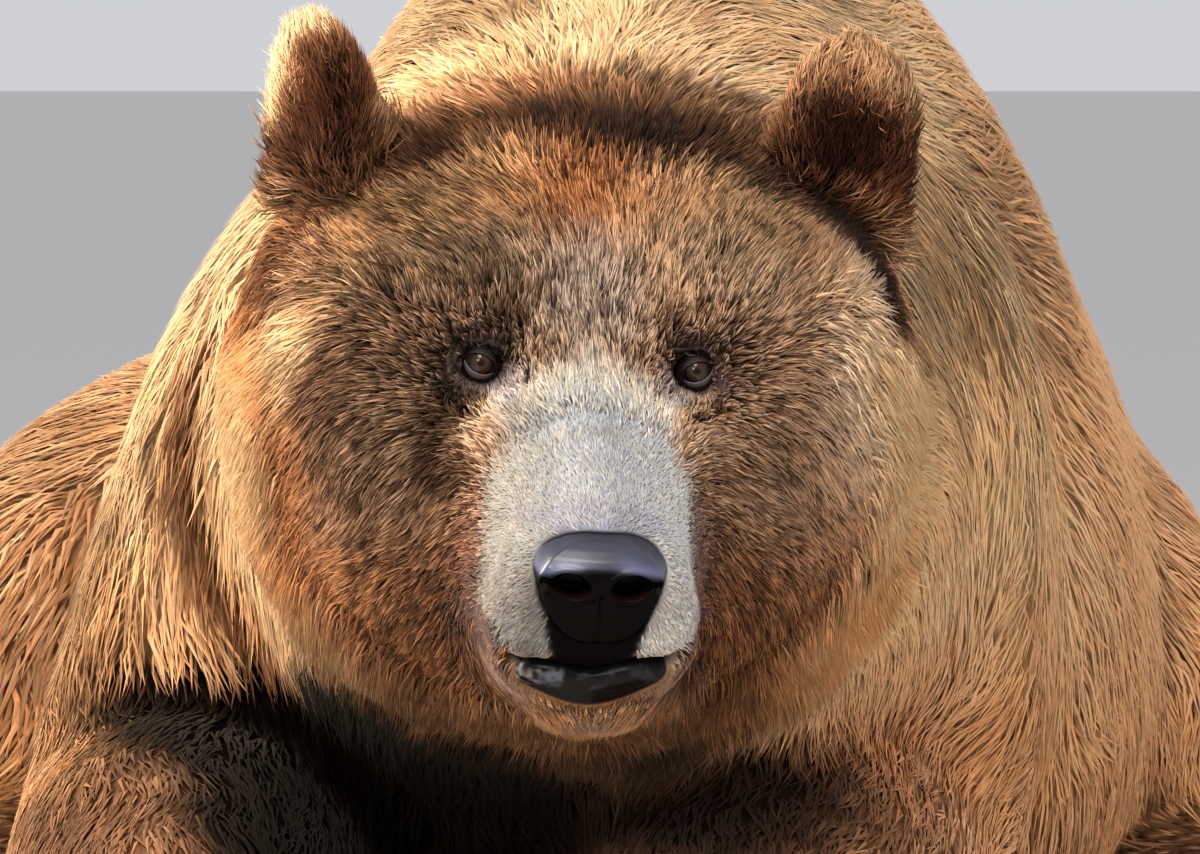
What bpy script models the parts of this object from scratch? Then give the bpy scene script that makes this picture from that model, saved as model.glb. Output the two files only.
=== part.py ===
"""A large brown bear lying on its belly with its head raised, as a still life-size model.

Run it with: blender --background --python part.py
Metres, +Z up. The bear faces -Y, its left side is +X, and it rests on the floor at z = 0.
The solids give the outline of the coat. The flesh is lofted from a few section tables, joined into one
closed skin with rounded creases, and then parted with thin cuts into the pieces that a person would name.
"""

import math

import bmesh
import bpy
import numpy as np
from mathutils import Matrix, Vector

# ---------------------------------------------------------------- driving dimensions

EYE_HEIGHT = 0.450  # of the point midway between the eyes
EYE_HALF_SPACING = 0.0615
EYE_RADIUS = 0.0125
EYE_DEPTH = 0.005  # of an eye's centre behind the origin of the level head
HEAD_PITCH = math.radians(16)  # nose down
HEAD_YAW = math.radians(4)  # towards the bear's left
HEAD_ROLL = math.radians(2.4)  # left side down

NOSE_HALF_WIDTH = 0.0395
NOSE_HALF_HEIGHT = 0.0315
EAR_HEIGHT = 0.124
EAR_HALF_WIDTH = 0.0385

FORE_CLAW_LENGTH = 0.070
HIND_CLAW_LENGTH = 0.045
TOES = 5

GAP = 0.0006  # left between two pieces that meet
REACH = 4.0  # half side of a box that stands for all of one side of a plane

HEAD_VOXEL = 0.007
BODY_VOXEL = 0.013
HEAD_TRIANGLES = 7600  # of the whole animal, at the fineness that the head is cut from
BODY_TRIANGLES = 2000  # of the whole animal, at the fineness that the rest is cut from
REGION_TRIANGLES = 90  # of the form that marks off one leg

FUR_BROWN = (0.30, 0.17, 0.085)
FUR_TAN = (0.46, 0.30, 0.16)
MUZZLE_GREY = (0.50, 0.43, 0.35)
NOSE_BLACK = (0.012, 0.011, 0.013)
CLAW_HORN = (0.10, 0.075, 0.05)
EYE_BROWN = (0.05, 0.025, 0.012)

# ---------------------------------------------------------------- section tables

# Head, level, measured from the point midway between the eyes:
# forward, top, bottom, half width, level of the widest place.
HEAD_SECTIONS = (
    (0.188, -0.050, -0.098, 0.026, -0.074),
    (0.180, -0.036, -0.128, 0.045, -0.082),
    (0.165, -0.029, -0.150, 0.055, -0.088),
    (0.140, -0.024, -0.164, 0.058, -0.092),
    (0.100, -0.016, -0.178, 0.060, -0.096),
    (0.060, -0.004, -0.190, 0.070, -0.098),
    (0.033, 0.004, -0.200, 0.092, -0.094),
    (0.010, 0.014, -0.210, 0.122, -0.086),
    (-0.020, 0.047, -0.224, 0.158, -0.072),
    (-0.050, 0.083, -0.238, 0.184, -0.060),
    (-0.090, 0.110, -0.246, 0.203, -0.054),
    (-0.135, 0.122, -0.238, 0.206, -0.050),
    (-0.180, 0.120, -0.215, 0.192, -0.040),
    (-0.225, 0.104, -0.180, 0.160, -0.030),
    (-0.260, 0.070, -0.120, 0.100, -0.020),
)

# Neck and trunk, in the row frame with the eyes at y = 0:
# y, centre x, level of the widest place, half width, top, bottom, roundness above and below it.
TORSO_SECTIONS = (
    (0.040, 0.000, 0.410, 0.120, 0.540, 0.290, 2.0, 2.0),
    (0.120, 0.000, 0.400, 0.180, 0.612, 0.228, 2.0, 2.0),
    (0.240, 0.004, 0.370, 0.212, 0.668, 0.178, 2.0, 2.0),
    (0.380, 0.022, 0.325, 0.245, 0.735, 0.095, 1.8, 2.0),
    (0.500, 0.040, 0.300, 0.277, 0.768, 0.010, 1.72, 2.2),
    (0.620, 0.050, 0.270, 0.302, 0.775, -0.008, 1.70, 2.5),
    (0.820, 0.052, 0.225, 0.328, 0.744, -0.012, 1.70, 2.7),
    (1.020, 0.052, 0.210, 0.350, 0.706, -0.012, 1.75, 2.7),
    (1.200, 0.054, 0.210, 0.350, 0.680, -0.012, 1.85, 2.7),
    (1.380, 0.060, 0.225, 0.318, 0.642, -0.010, 1.95, 2.5),
    (1.520, 0.068, 0.245, 0.256, 0.580, 0.010, 2.0, 2.3),
    (1.620, 0.074, 0.270, 0.175, 0.498, 0.060, 2.0, 2.1),
    (1.675, 0.078, 0.295, 0.080, 0.395, 0.180, 2.0, 2.0),
)

# Legs, in the row frame. The path holds x, y, z and radius along the limb, from the body down. The paw
# holds x, y and the heading of its toes in degrees, where 90 is straight ahead and less is to the right.
LEGS = {
    "foreleg_right": {
        "path": (
            (-0.050, 0.560, 0.575, 0.095),
            (-0.140, 0.390, 0.445, 0.115),
            (-0.190, 0.420, 0.300, 0.124),
            (-0.238, 0.450, 0.135, 0.122),
            (-0.245, 0.260, 0.112, 0.114),
            (-0.245, 0.060, 0.080, 0.086),
        ),
        "paw": (-0.240, -0.060, 94.0),
        "fore": True,
    },
    "foreleg_left": {
        "path": (
            (0.130, 0.560, 0.575, 0.095),
            (0.160, 0.385, 0.440, 0.115),
            (0.170, 0.420, 0.290, 0.120),
            (0.152, 0.440, 0.135, 0.115),
            (0.112, 0.250, 0.114, 0.113),
            (0.082, 0.060, 0.080, 0.086),
        ),
        "paw": (0.070, -0.060, 92.0),
        "fore": True,
    },
    "hindleg_right": {
        "path": (
            (-0.060, 1.400, 0.350, 0.205),
            (-0.190, 1.260, 0.250, 0.200),
            (-0.300, 1.120, 0.205, 0.190),
            (-0.388, 1.025, 0.170, 0.140),
            (-0.415, 1.130, 0.110, 0.105),
            (-0.405, 1.270, 0.080, 0.080),
        ),
        "paw": (-0.450, 1.100, 72.0),
        "fore": False,
    },
    "hindleg_left": {
        "path": (
            (0.150, 1.400, 0.340, 0.200),
            (0.225, 1.270, 0.240, 0.195),
            (0.295, 1.130, 0.195, 0.178),
            (0.355, 1.045, 0.160, 0.135),
            (0.380, 1.140, 0.108, 0.104),
            (0.375, 1.290, 0.080, 0.080),
        ),
        "paw": (0.412, 1.120, 102.0),
        "fore": False,
    },
}

# Tail: x, y, z and radius.
TAIL = ((0.078, 1.570, 0.440, 0.058), (0.082, 1.672, 0.405, 0.045), (0.088, 1.735, 0.330, 0.031))
TAIL_END = (0.094, 1.790, 0.250, 0.040)  # beyond the tail's tip, for the form that marks it off

# ---------------------------------------------------------------- shapes


def head_place():
    """The matrix that takes a point of the level head to its place."""
    turn = (
        Matrix.Rotation(HEAD_YAW, 4, "Z")
        @ Matrix.Rotation(HEAD_ROLL, 4, "Y")
        @ Matrix.Rotation(HEAD_PITCH, 4, "X")
    )
    return Matrix.Translation((0, 0, EYE_HEIGHT)) @ turn


def new_object(name, points, faces):
    mesh = bpy.data.meshes.new(name)
    mesh.from_pydata([tuple(p) for p in points], [], faces)
    mesh.update()
    obj = bpy.data.objects.new(name, mesh)
    bpy.context.scene.collection.objects.link(obj)
    return obj


def catmull_rom(rows, steps):
    """Rows of numbers made finer, with a smooth curve through the given ones."""
    rows = np.array(rows, float)
    ends = np.vstack([2 * rows[0] - rows[1], rows, 2 * rows[-1] - rows[-2]])
    t = np.arange(steps)[:, None] / steps
    fine = []
    for a, b, c, d in zip(ends, ends[1:], ends[2:], ends[3:]):
        bend = (2 * b, c - a, 2 * a - 5 * b + 4 * c - d, 3 * b - a - 3 * c + d)
        fine.append(0.5 * (bend[0] + bend[1] * t + bend[2] * t**2 + bend[3] * t**3))
    return np.vstack([*fine, rows[-1:]])


def oval(half_width, rise, drop, power_up, power_down, corners):
    """Offsets to the right and up of a rounded section that is fuller or slacker above and below."""
    turn = np.linspace(0, 2 * np.pi, corners, endpoint=False)
    c, s = np.cos(turn), np.sin(turn)
    power = 2 / np.where(s >= 0, power_up, power_down)
    right = half_width * np.sign(c) * np.abs(c) ** power
    up = np.where(s >= 0, rise, drop) * np.sign(s) * np.abs(s) ** power
    return right, up


def loft(name, rings):
    """A closed solid of triangles through rings of points, each end closed by a fan."""
    count = len(rings[0])
    points = [p for ring in rings for p in ring]
    faces = []
    for k in range(len(rings) - 1):
        for i in range(count):
            j = (i + 1) % count
            faces.append((k * count + i, k * count + j, (k + 1) * count + j))
            faces.append((k * count + i, (k + 1) * count + j, (k + 1) * count + i))
    for ring, first, forward in ((rings[0], 0, False), (rings[-1], (len(rings) - 1) * count, True)):
        middle = len(points)
        points.append(np.mean(ring, axis=0))
        for i in range(count):
            j = (i + 1) % count
            pair = (first + i, first + j) if forward else (first + j, first + i)
            faces.append((*pair, middle))
    obj = new_object(name, points, faces)
    face_outwards(obj)
    return obj


def face_outwards(obj):
    mesh = bmesh.new()
    mesh.from_mesh(obj.data)
    bmesh.ops.recalc_face_normals(mesh, faces=mesh.faces)
    if mesh.calc_volume(signed=True) < 0:
        bmesh.ops.reverse_faces(mesh, faces=mesh.faces)
    mesh.to_mesh(obj.data)
    mesh.free()


def head_loft(grow=0.0, corners=36, steps=3):
    rings = []
    for forward, top, bottom, half_width, widest in catmull_rom(HEAD_SECTIONS, steps):
        x, z = oval(half_width + grow, top - widest + grow, widest - bottom + grow, 2.1, 2.3, corners)
        rings.append(np.column_stack([x, np.full(corners, -forward), z + widest]))
    obj = loft("head_form", rings)
    obj.data.transform(head_place())
    return obj


def torso_loft(corners=40):
    rings = []
    for y, x, widest, half_width, top, bottom, above, below in catmull_rom(TORSO_SECTIONS, 3):
        right, up = oval(half_width, top - widest, widest - bottom, above, below, corners)
        rings.append(np.column_stack([right + x, np.full(corners, y), up + widest]))
    return loft("torso_form", rings)


def tube(name, path, grow=0.0, corners=20):
    """A limb: round sections square to a smooth path, with a ball at each end."""
    fine = catmull_rom(path, 4)
    centres, radii = fine[:, :3], fine[:, 3] + grow
    along = np.gradient(centres, axis=0)
    along /= np.linalg.norm(along, axis=1)[:, None]
    side = np.cross(along[0], (0.0, 0.0, 1.0))
    if np.linalg.norm(side) < 0.1:
        side = np.array((1.0, 0.0, 0.0))
    turn = np.linspace(0, 2 * np.pi, corners, endpoint=False)[:, None]
    rings = []
    for centre, radius, ahead in zip(centres, radii, along):
        side = side - ahead * (side @ ahead)
        side /= np.linalg.norm(side)
        other = np.cross(ahead, side)
        rings.append(centre + radius * (np.cos(turn) * side + np.sin(turn) * other))
    for end, ahead, last in ((0, -1, False), (-1, 1, True)):
        cap = []
        for lean in np.radians((30, 60, 80)):
            shift = along[end] * ahead * radii[end] * math.sin(lean)
            cap.append(centres[end] + shift + (rings[end] - centres[end]) * math.cos(lean))
        rings = [*rings, *cap] if last else [*cap[::-1], *rings]
    return loft(name, rings)


def ball(name, centre, radii, turn=Matrix.Identity(4), segments=20, rows=12):
    mesh = bmesh.new()
    bmesh.ops.create_uvsphere(mesh, u_segments=segments, v_segments=rows, radius=1)
    place = Matrix.Translation(centre) @ turn @ Matrix.Diagonal((*radii, 1))
    bmesh.ops.transform(mesh, matrix=place, verts=mesh.verts)
    data = bpy.data.meshes.new(name)
    mesh.to_mesh(data)
    mesh.free()
    obj = bpy.data.objects.new(name, data)
    bpy.context.scene.collection.objects.link(obj)
    return obj


def block(name, low, high, place=Matrix.Identity(4)):
    mesh = bmesh.new()
    bmesh.ops.create_cube(mesh, size=1)
    size = Vector(high) - Vector(low)
    middle = (Vector(high) + Vector(low)) / 2
    move = place @ Matrix.Translation(middle) @ Matrix.Diagonal((*size, 1))
    bmesh.ops.transform(mesh, matrix=move, verts=mesh.verts)
    data = bpy.data.meshes.new(name)
    mesh.to_mesh(data)
    mesh.free()
    obj = bpy.data.objects.new(name, data)
    bpy.context.scene.collection.objects.link(obj)
    return obj


# ---------------------------------------------------------------- modifiers, used and applied


def applied(obj):
    """Makes the object's mesh what its modifiers give, and clears them."""
    graph = bpy.context.evaluated_depsgraph_get()
    mesh = bpy.data.meshes.new_from_object(obj.evaluated_get(graph))
    obj.modifiers.clear()
    old = obj.data
    obj.data = mesh
    bpy.data.meshes.remove(old)
    return obj


def discard(*objects):
    for obj in objects:
        bpy.data.objects.remove(obj)


def copy_of(obj, name):
    twin = obj.copy()
    twin.data = obj.data.copy()
    twin.name = name
    bpy.context.scene.collection.objects.link(twin)
    return twin


def boolean(obj, other, operation):
    step = obj.modifiers.new(operation.lower(), "BOOLEAN")
    step.operation = operation
    step.solver = "EXACT"
    step.object = other
    return applied(obj)


def grown(obj, by=GAP):
    """A copy with every face moved out by at least that much, which cuts a place with a gap round it."""
    twin = copy_of(obj, obj.name + "_grown")
    mesh = bmesh.new()
    mesh.from_mesh(twin.data)
    mesh.normal_update()
    moves = []
    for vert in mesh.verts:
        normals = [face.normal for face in vert.link_faces]
        ahead = sum(normals, Vector()).normalized()
        worst = min(normals, key=ahead.dot)
        for _ in range(20):
            if ahead.dot(worst) > 0.4:
                break
            ahead = (ahead + worst * 0.3).normalized()
            worst = min(normals, key=ahead.dot)
        moves.append(ahead * by / max(0.2, ahead.dot(worst)))
    for vert, move in zip(mesh.verts, moves):
        vert.co += move
    mesh.to_mesh(twin.data)
    mesh.free()
    return twin


def make_room(carrier, piece, by=GAP):
    """Cuts the piece's place, with a gap round it, out of what carries it."""
    place = grown(piece, by)
    boolean(carrier, place, "DIFFERENCE")
    discard(place)


def joined(name, objects):
    """One object that holds several closed shapes, which still cross each other."""
    mesh = bmesh.new()
    for obj in objects:
        mesh.from_mesh(obj.data)
    data = bpy.data.meshes.new(name)
    mesh.to_mesh(data)
    mesh.free()
    discard(*objects)
    obj = bpy.data.objects.new(name, data)
    bpy.context.scene.collection.objects.link(obj)
    return obj


def fused(obj, voxel, rounds, triangles):
    """The shapes of the object as one skin, its creases rounded, with about that many triangles."""
    remesh = obj.modifiers.new("fuse", "REMESH")
    remesh.mode = "VOXEL"
    remesh.voxel_size = voxel
    smooth = obj.modifiers.new("round", "SMOOTH")
    smooth.factor = 0.5
    smooth.iterations = rounds
    applied(obj)
    thin = obj.modifiers.new("thin", "DECIMATE")
    thin.ratio = min(1.0, triangles / (2 * len(obj.data.polygons)))
    return applied(obj)


def main_body_only(obj):
    """Drops the crumbs that a cut leaves, and keeps the largest body."""
    mesh = bmesh.new()
    mesh.from_mesh(obj.data)
    left = set(mesh.faces)
    groups = []
    while left:
        queue = [left.pop()]
        found = list(queue)
        while queue:
            for edge in queue.pop().edges:
                if len(edge.link_faces) == 2:
                    fresh = [face for face in edge.link_faces if face in left]
                    left.difference_update(fresh)
                    queue += fresh
                    found += fresh
        groups.append(found)
    groups.sort(key=lambda faces: sum(face.calc_area() for face in faces))
    for faces in groups[:-1]:
        bmesh.ops.delete(mesh, geom=faces, context="FACES")
    mesh.to_mesh(obj.data)
    mesh.free()
    return obj


def half_space(name, point, normal):
    """A huge block on the far side of a plane, for cutting off what lies there."""
    turn = Vector(normal).to_track_quat("Z", "Y").to_matrix().to_4x4()
    place = Matrix.Translation(point) @ turn
    return block(name, (-REACH, -REACH, 0), (REACH, REACH, 2 * REACH), place)


def part_by_plane(obj, point, normal, near_name, far_name):
    """Parts a solid in two by a thin cut, and returns the near and the far piece."""
    normal = Vector(normal).normalized()
    near, far = obj, copy_of(obj, far_name)
    near.name = near_name
    beyond = half_space("beyond", Vector(point) - normal * GAP / 2, normal)
    before = half_space("before", Vector(point) + normal * GAP / 2, -normal)
    boolean(near, beyond, "DIFFERENCE")
    boolean(far, before, "DIFFERENCE")
    discard(beyond, before)
    return main_body_only(near), main_body_only(far)


# ---------------------------------------------------------------- paws and claws


def paw_frame(paw):
    """The matrix of a paw: +Y of the paw points along its toes, and z = 0 is the floor."""
    x, y, heading = paw
    return Matrix.Translation((x, y, 0)) @ Matrix.Rotation(math.radians(heading + 90), 4, "Z")


def toe_places(fore):
    """Each toe's place in the paw frame and its heading, as x, y and angle."""
    reach, spread = (0.088, 11.0) if fore else (0.100, 9.0)
    places = []
    for k in range(TOES):
        lean = math.radians((k - (TOES - 1) / 2) * spread)
        x = -(reach + 0.075) * math.sin(lean)
        y = (reach + 0.075) * math.cos(lean) - 0.075
        places.append((x, y, lean * 0.7))
    return places


def paw_flesh(name, leg):
    """The pad and toes of a paw, a little below the floor so that the cut leaves a flat."""
    place = paw_frame(leg["paw"])
    length = 0.105 if leg["fore"] else 0.150
    shapes = [ball(name + "_pad", (0, 0.085 - length, 0.040), (0.080, length, 0.066))]
    for k, (x, y, lean) in enumerate(toe_places(leg["fore"])):
        turn = Matrix.Rotation(lean, 4, "Z")
        shapes.append(ball(f"{name}_toe_{k}", (x, y - 0.008, 0.028), (0.0215, 0.042, 0.034), turn, 12, 8))
    for shape in shapes:
        shape.data.transform(place)
    return shapes


def claw(name, leg, toe):
    """A curved claw: oval rings along an arc that starts level in the toe and turns down."""
    length = FORE_CLAW_LENGTH if leg["fore"] else HIND_CLAW_LENGTH
    bend = math.radians(42)
    radius = length / bend
    root = 0.0085 if leg["fore"] else 0.0075
    corners, steps = 5, 4
    rings = []
    for k in range(steps + 1):
        t = k / steps
        angle = math.radians(8) - bend * t
        y = radius * (math.sin(math.radians(8)) - math.sin(angle))
        z = radius * (math.cos(angle) - math.cos(math.radians(8)))
        size = root * (1 - 0.86 * t**1.4)
        turn = np.linspace(0, 2 * np.pi, corners, endpoint=False)
        side, rise = 0.72 * size * np.cos(turn), size * np.sin(turn)
        rings.append(np.column_stack([side, y - rise * math.sin(angle), z + rise * math.cos(angle)]))
    obj = loft(name, rings)
    x, y, lean = toe_places(leg["fore"])[toe]
    height = length * 0.34 + 0.014
    place = Matrix.Translation((x, y + 0.006, height)) @ Matrix.Rotation(lean, 4, "Z")
    obj.data.transform(paw_frame(leg["paw"]) @ place)
    return obj


# ---------------------------------------------------------------- parts of the face


def eye(name, side):
    centre = head_place() @ Vector((side * EYE_HALF_SPACING, EYE_DEPTH, 0))
    return ball(name, centre, [EYE_RADIUS] * 3, segments=10, rows=6)


def eye_dish(side):
    """The hollow in the coat in front of an eye."""
    obj = ball("dish", (side * EYE_HALF_SPACING, -0.016, 0.0), (0.019, 0.015, 0.015), segments=10, rows=6)
    obj.data.transform(head_place())
    return obj


def nose():
    """The nose pad: a rounded block, narrower at its foot, with its top leaning back."""
    rings = []
    corners, steps = 14, 6
    for k in range(steps + 1):
        t = math.sin(math.pi / 2 * (-1 + 2 * k / steps))
        fullness = max(1e-3, 1 - abs(t) ** 3.2) ** (1 / 3.2)
        half_width = NOSE_HALF_WIDTH * (0.90 + 0.12 * t) * fullness
        half_depth = 0.021 * fullness
        turn = np.linspace(0, 2 * np.pi, corners, endpoint=False)
        c, s = np.cos(turn), np.sin(turn)
        x = half_width * np.sign(c) * np.abs(c) ** 0.85
        y = half_depth * np.sign(s) * np.abs(s) ** 0.85 - 0.176 + 0.006 * t
        z = np.full(corners, -0.067 + t * NOSE_HALF_HEIGHT)
        rings.append(np.column_stack([x, y, z]))
    obj = loft("nose", rings)
    obj.data.transform(head_place())
    return obj


def nostril(side):
    turn = Matrix.Rotation(side * math.radians(-25), 4, "Y")
    obj = ball("nostril", (side * 0.0175, -0.199, -0.070), (0.0090, 0.013, 0.0120), turn, 8, 6)
    obj.data.transform(head_place())
    return obj


def ear_place(side):
    """Where an ear stands on the level head: its foot, leaning out and turned a little to the side."""
    turn_out = math.radians(20 if side > 0 else 58)
    lean = Matrix.Rotation(side * math.radians(12), 4, "Y")
    return (
        Matrix.Translation((side * 0.145, 0.120, 0.046))
        @ lean
        @ Matrix.Rotation(math.radians(4), 4, "X")
        @ Matrix.Rotation(side * turn_out, 4, "Z")
    )


def ear(name, side):
    """A round cupped ear: flattened sections that grow and close like a dome, hollow in front."""
    rings = []
    corners, steps = 14, 7
    for k in range(steps + 1):
        t = math.sin(math.pi / 2 * (0.02 + 0.96 * k / steps))
        width = EAR_HALF_WIDTH * (0.86 + 0.36 * t) * (1 - t**4) ** 0.5
        thick = (0.021 - 0.006 * t) * (1 - t**4) ** 0.5
        cup = 0.018 * math.sin(math.pi * min(1.0, 0.25 + 0.75 * t)) * (1 - t**6)
        turn = np.linspace(0, 2 * np.pi, corners, endpoint=False)
        c, s = np.cos(turn), np.sin(turn)
        deep = s * thick + cup * s**2
        rings.append(np.column_stack([c * width, deep, np.full(corners, EAR_HEIGHT * t)]))
    obj = loft(name, rings)
    obj.data.transform(head_place() @ ear_place(side))
    return obj


def jaw_region():
    """The block that takes in the lower jaw: below the mouth line and ahead of the cheeks."""
    slope = Matrix.Rotation(math.radians(-7), 4, "X")
    place = head_place() @ Matrix.Translation((0, -0.185, -0.113)) @ slope
    return block("jaw_region", (-0.058, -0.05, -0.30), (0.058, 0.135, 0), place)


# ---------------------------------------------------------------- the animal


def material(name, colour, roughness):
    made = bpy.data.materials.new(name)
    made.use_nodes = True
    shader = made.node_tree.nodes["Principled BSDF"]
    shader.inputs["Base Color"].default_value = (*colour, 1)
    shader.inputs["Roughness"].default_value = roughness
    return made


def all_flesh():
    """Every form of the body that the coat covers, crossing each other, in one object."""
    shapes = [head_loft(), torso_loft(), tube("tail_form", TAIL)]
    for name, leg in LEGS.items():
        shapes.append(tube(name + "_form", leg["path"]))
        shapes += paw_flesh(name, leg)
    return joined("flesh", shapes)


def leg_region(name, leg):
    """The form of one leg, grown, as one closed skin that marks what belongs to the leg."""
    shapes = [tube("region", leg["path"][1:], grow=0.016), *paw_flesh(name, leg)]
    for shape in shapes[1:]:
        for vert in shape.data.vertices:
            vert.co.z = vert.co.z * 1.35 - 0.02
    region = joined(name + "_region", shapes)
    fused(region, 0.022, 3, REGION_TRIANGLES)
    wide = grown(region, 0.012)
    discard(region)
    return wide


def make_head(flesh):
    """The head with its eyes, ears, nose and lower jaw, and the room that it takes from the rest."""
    region = head_loft(grow=0.014, corners=14, steps=1)
    head = boolean(flesh, region, "INTERSECT")
    head.name = "head"
    room = grown(region, 0.0008)
    discard(region)
    pieces = {"head": head}
    for side, word in ((-1, "right"), (1, "left")):
        dish = eye_dish(side)
        boolean(head, dish, "DIFFERENCE")
        discard(dish)
        for make, name in ((eye, "eye_" + word), (ear, "ear_" + word)):
            pieces[name] = make(name, side)
            make_room(head, pieces[name])
    snout = nose()
    make_room(head, snout)
    for side in (-1, 1):
        hole = nostril(side)
        boolean(snout, hole, "DIFFERENCE")
        discard(hole)
    pieces["nose"] = snout

    block_of_jaw = jaw_region()
    jaw = boolean(copy_of(head, "lower_jaw"), block_of_jaw, "INTERSECT")
    make_room(head, block_of_jaw)
    discard(block_of_jaw)
    pieces["lower_jaw"] = main_body_only(jaw)
    main_body_only(head)
    return pieces, room


def make_leg(name, leg, rest):
    """Takes one leg off the rest of the body, and parts it into its lengths and claws."""
    region = leg_region(name, leg)
    limb = main_body_only(boolean(copy_of(rest, name), region, "INTERSECT"))
    make_room(rest, region, 0.0008)
    discard(region)
    foot = Vector(leg["path"][-1][:3])
    if leg["fore"]:
        names = (name + "_upper", name + "_forearm", name + "_paw")
        elbow = Vector(leg["path"][3][:3]) + Vector((0, 0, 0.085))
        upper, lower = part_by_plane(limb, elbow, (0, -0.25, -1), names[0], names[1])
        lower, paw = part_by_plane(lower, foot + Vector((0, -0.045, 0)), (0, -1, 0), names[1], names[2])
        pieces = dict(zip(names, (upper, lower, paw)))
    else:
        names = (name + "_thigh", name + "_foot")
        thigh, paw = part_by_plane(limb, foot + Vector((0, 0, 0.030)), (0, -0.12, -1), names[0], names[1])
        pieces = dict(zip(names, (thigh, paw)))
    for toe in range(TOES):
        claw_name = f"{name}_claw_{toe + 1}"
        pieces[claw_name] = claw(claw_name, leg, toe)
        make_room(paw, pieces[claw_name])
    main_body_only(paw)
    return pieces


def build():
    for obj in list(bpy.data.objects):
        bpy.data.objects.remove(obj)

    flesh = all_flesh()
    fine = fused(copy_of(flesh, "fine"), HEAD_VOXEL, 5, HEAD_TRIANGLES)
    rest = fused(flesh, BODY_VOXEL, 6, BODY_TRIANGLES)
    below = block("below", (-REACH, -REACH, -REACH), (REACH, REACH, 0))
    boolean(rest, below, "DIFFERENCE")

    pieces, head_room = make_head(fine)
    boolean(rest, head_room, "DIFFERENCE")
    discard(head_room, below)
    for word in ("right", "left"):
        make_room(rest, pieces["ear_" + word])
    main_body_only(rest)
    for name, leg in LEGS.items():
        pieces.update(make_leg(name, leg, rest))
        main_body_only(rest)

    region = tube("tail_region", (*TAIL[1:], TAIL_END), grow=0.022, corners=10)
    pieces["tail"] = main_body_only(boolean(copy_of(rest, "tail"), region, "INTERSECT"))
    make_room(rest, region, 0.0008)
    discard(region)
    neck, trunk = part_by_plane(main_body_only(rest), (0, 0.37, 0.45), (0, 0.92, -0.39), "neck", "trunk")
    pieces.update(neck=neck, trunk=trunk)
    return pieces


def recentre(pieces):
    """Moves all pieces so that the origin is the bottom centre of their box."""
    corners = np.array([v.co for obj in pieces.values() for v in obj.data.vertices])
    low, high = corners.min(0), corners.max(0)
    shift = Matrix.Translation((-(low[0] + high[0]) / 2, -(low[1] + high[1]) / 2, 0))
    for obj in pieces.values():
        obj.data.transform(shift)
    print("eyes stand at y =", round(shift.translation.y, 5), "x =", round(shift.translation.x, 5))


def finish(pieces):
    """Gives each piece its material and its shading."""
    looks = {
        "eye": material("eye", EYE_BROWN, 0.1),
        "nose": material("nose_pad", NOSE_BLACK, 0.4),
        "claw": material("claw_horn", CLAW_HORN, 0.35),
        "lower_jaw": material("muzzle_coat", MUZZLE_GREY, 0.9),
        "neck": material("tan_coat", FUR_TAN, 0.9),
        "coat": material("brown_coat", FUR_BROWN, 0.9),
    }
    for name, obj in pieces.items():
        obj.name = name
        obj.data.name = name
        key = next((k for k in looks if k in name), "coat")
        obj.data.materials.clear()
        obj.data.materials.append(looks[key])
        obj.data.shade_smooth()
        obj.data.set_sharp_from_angle(angle=math.radians(50))


parts_of_bear = build()
recentre(parts_of_bear)
finish(parts_of_bear)
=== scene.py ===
import math

import bmesh
import bpy
import numpy as np
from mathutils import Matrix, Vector


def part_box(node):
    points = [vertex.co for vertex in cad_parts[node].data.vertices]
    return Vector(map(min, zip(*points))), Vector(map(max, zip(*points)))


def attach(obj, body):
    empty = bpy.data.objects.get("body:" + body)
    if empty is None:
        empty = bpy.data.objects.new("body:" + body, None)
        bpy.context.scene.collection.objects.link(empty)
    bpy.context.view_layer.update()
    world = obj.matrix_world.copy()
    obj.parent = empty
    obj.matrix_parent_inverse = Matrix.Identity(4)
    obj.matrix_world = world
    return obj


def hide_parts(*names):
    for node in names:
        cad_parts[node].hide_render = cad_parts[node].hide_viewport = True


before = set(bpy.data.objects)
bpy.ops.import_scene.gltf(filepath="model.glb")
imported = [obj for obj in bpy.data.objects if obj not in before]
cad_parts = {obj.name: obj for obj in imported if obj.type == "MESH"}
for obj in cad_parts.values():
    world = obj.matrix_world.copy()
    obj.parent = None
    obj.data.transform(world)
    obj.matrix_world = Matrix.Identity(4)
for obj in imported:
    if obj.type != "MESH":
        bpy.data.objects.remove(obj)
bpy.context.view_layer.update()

# ---- where the face is
# The animal looks straight ahead with its head a little low. Everything on the face is
# placed from the line between its two eyes and from the nose, as a taxidermist measures.

NOSE_BELOW_GAZE = math.radians(20.3)  # how far the nose lies under the level line of sight
ONLOOKER_ABOVE = math.radians(3)  # someone facing the animal looks slightly down on it


def middle(node):
    """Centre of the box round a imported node."""
    low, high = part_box(node)
    return (np.array(low) + np.array(high)) / 2


def unit(vectors):
    """The same directions, each one long."""
    size = np.linalg.norm(vectors, axis=-1, keepdims=True)
    return vectors / np.maximum(size, 1e-9)


def ramp(values, start, end):
    """0 before start and 1 after end, with a smooth S between: 3t^2 - 2t^3."""
    t = np.clip((values - start) / (end - start), 0, 1)
    return t * t * (3 - 2 * t)


between_eyes = (middle("eye_left") + middle("eye_right")) / 2
across = unit(middle("eye_left") - middle("eye_right"))
to_nose = middle("nose") - between_eyes
to_nose = unit(to_nose - across * (to_nose @ across))
ahead = math.cos(NOSE_BELOW_GAZE) * to_nose + math.sin(NOSE_BELOW_GAZE) * np.cross(to_nose, across)
above = np.cross(ahead, across)
head_axes = np.stack([across, ahead, above])


def in_head(points):
    """Distances across, ahead of and above the midpoint between the eyes."""
    return (np.asarray(points) - between_eyes) @ head_axes.T


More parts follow.
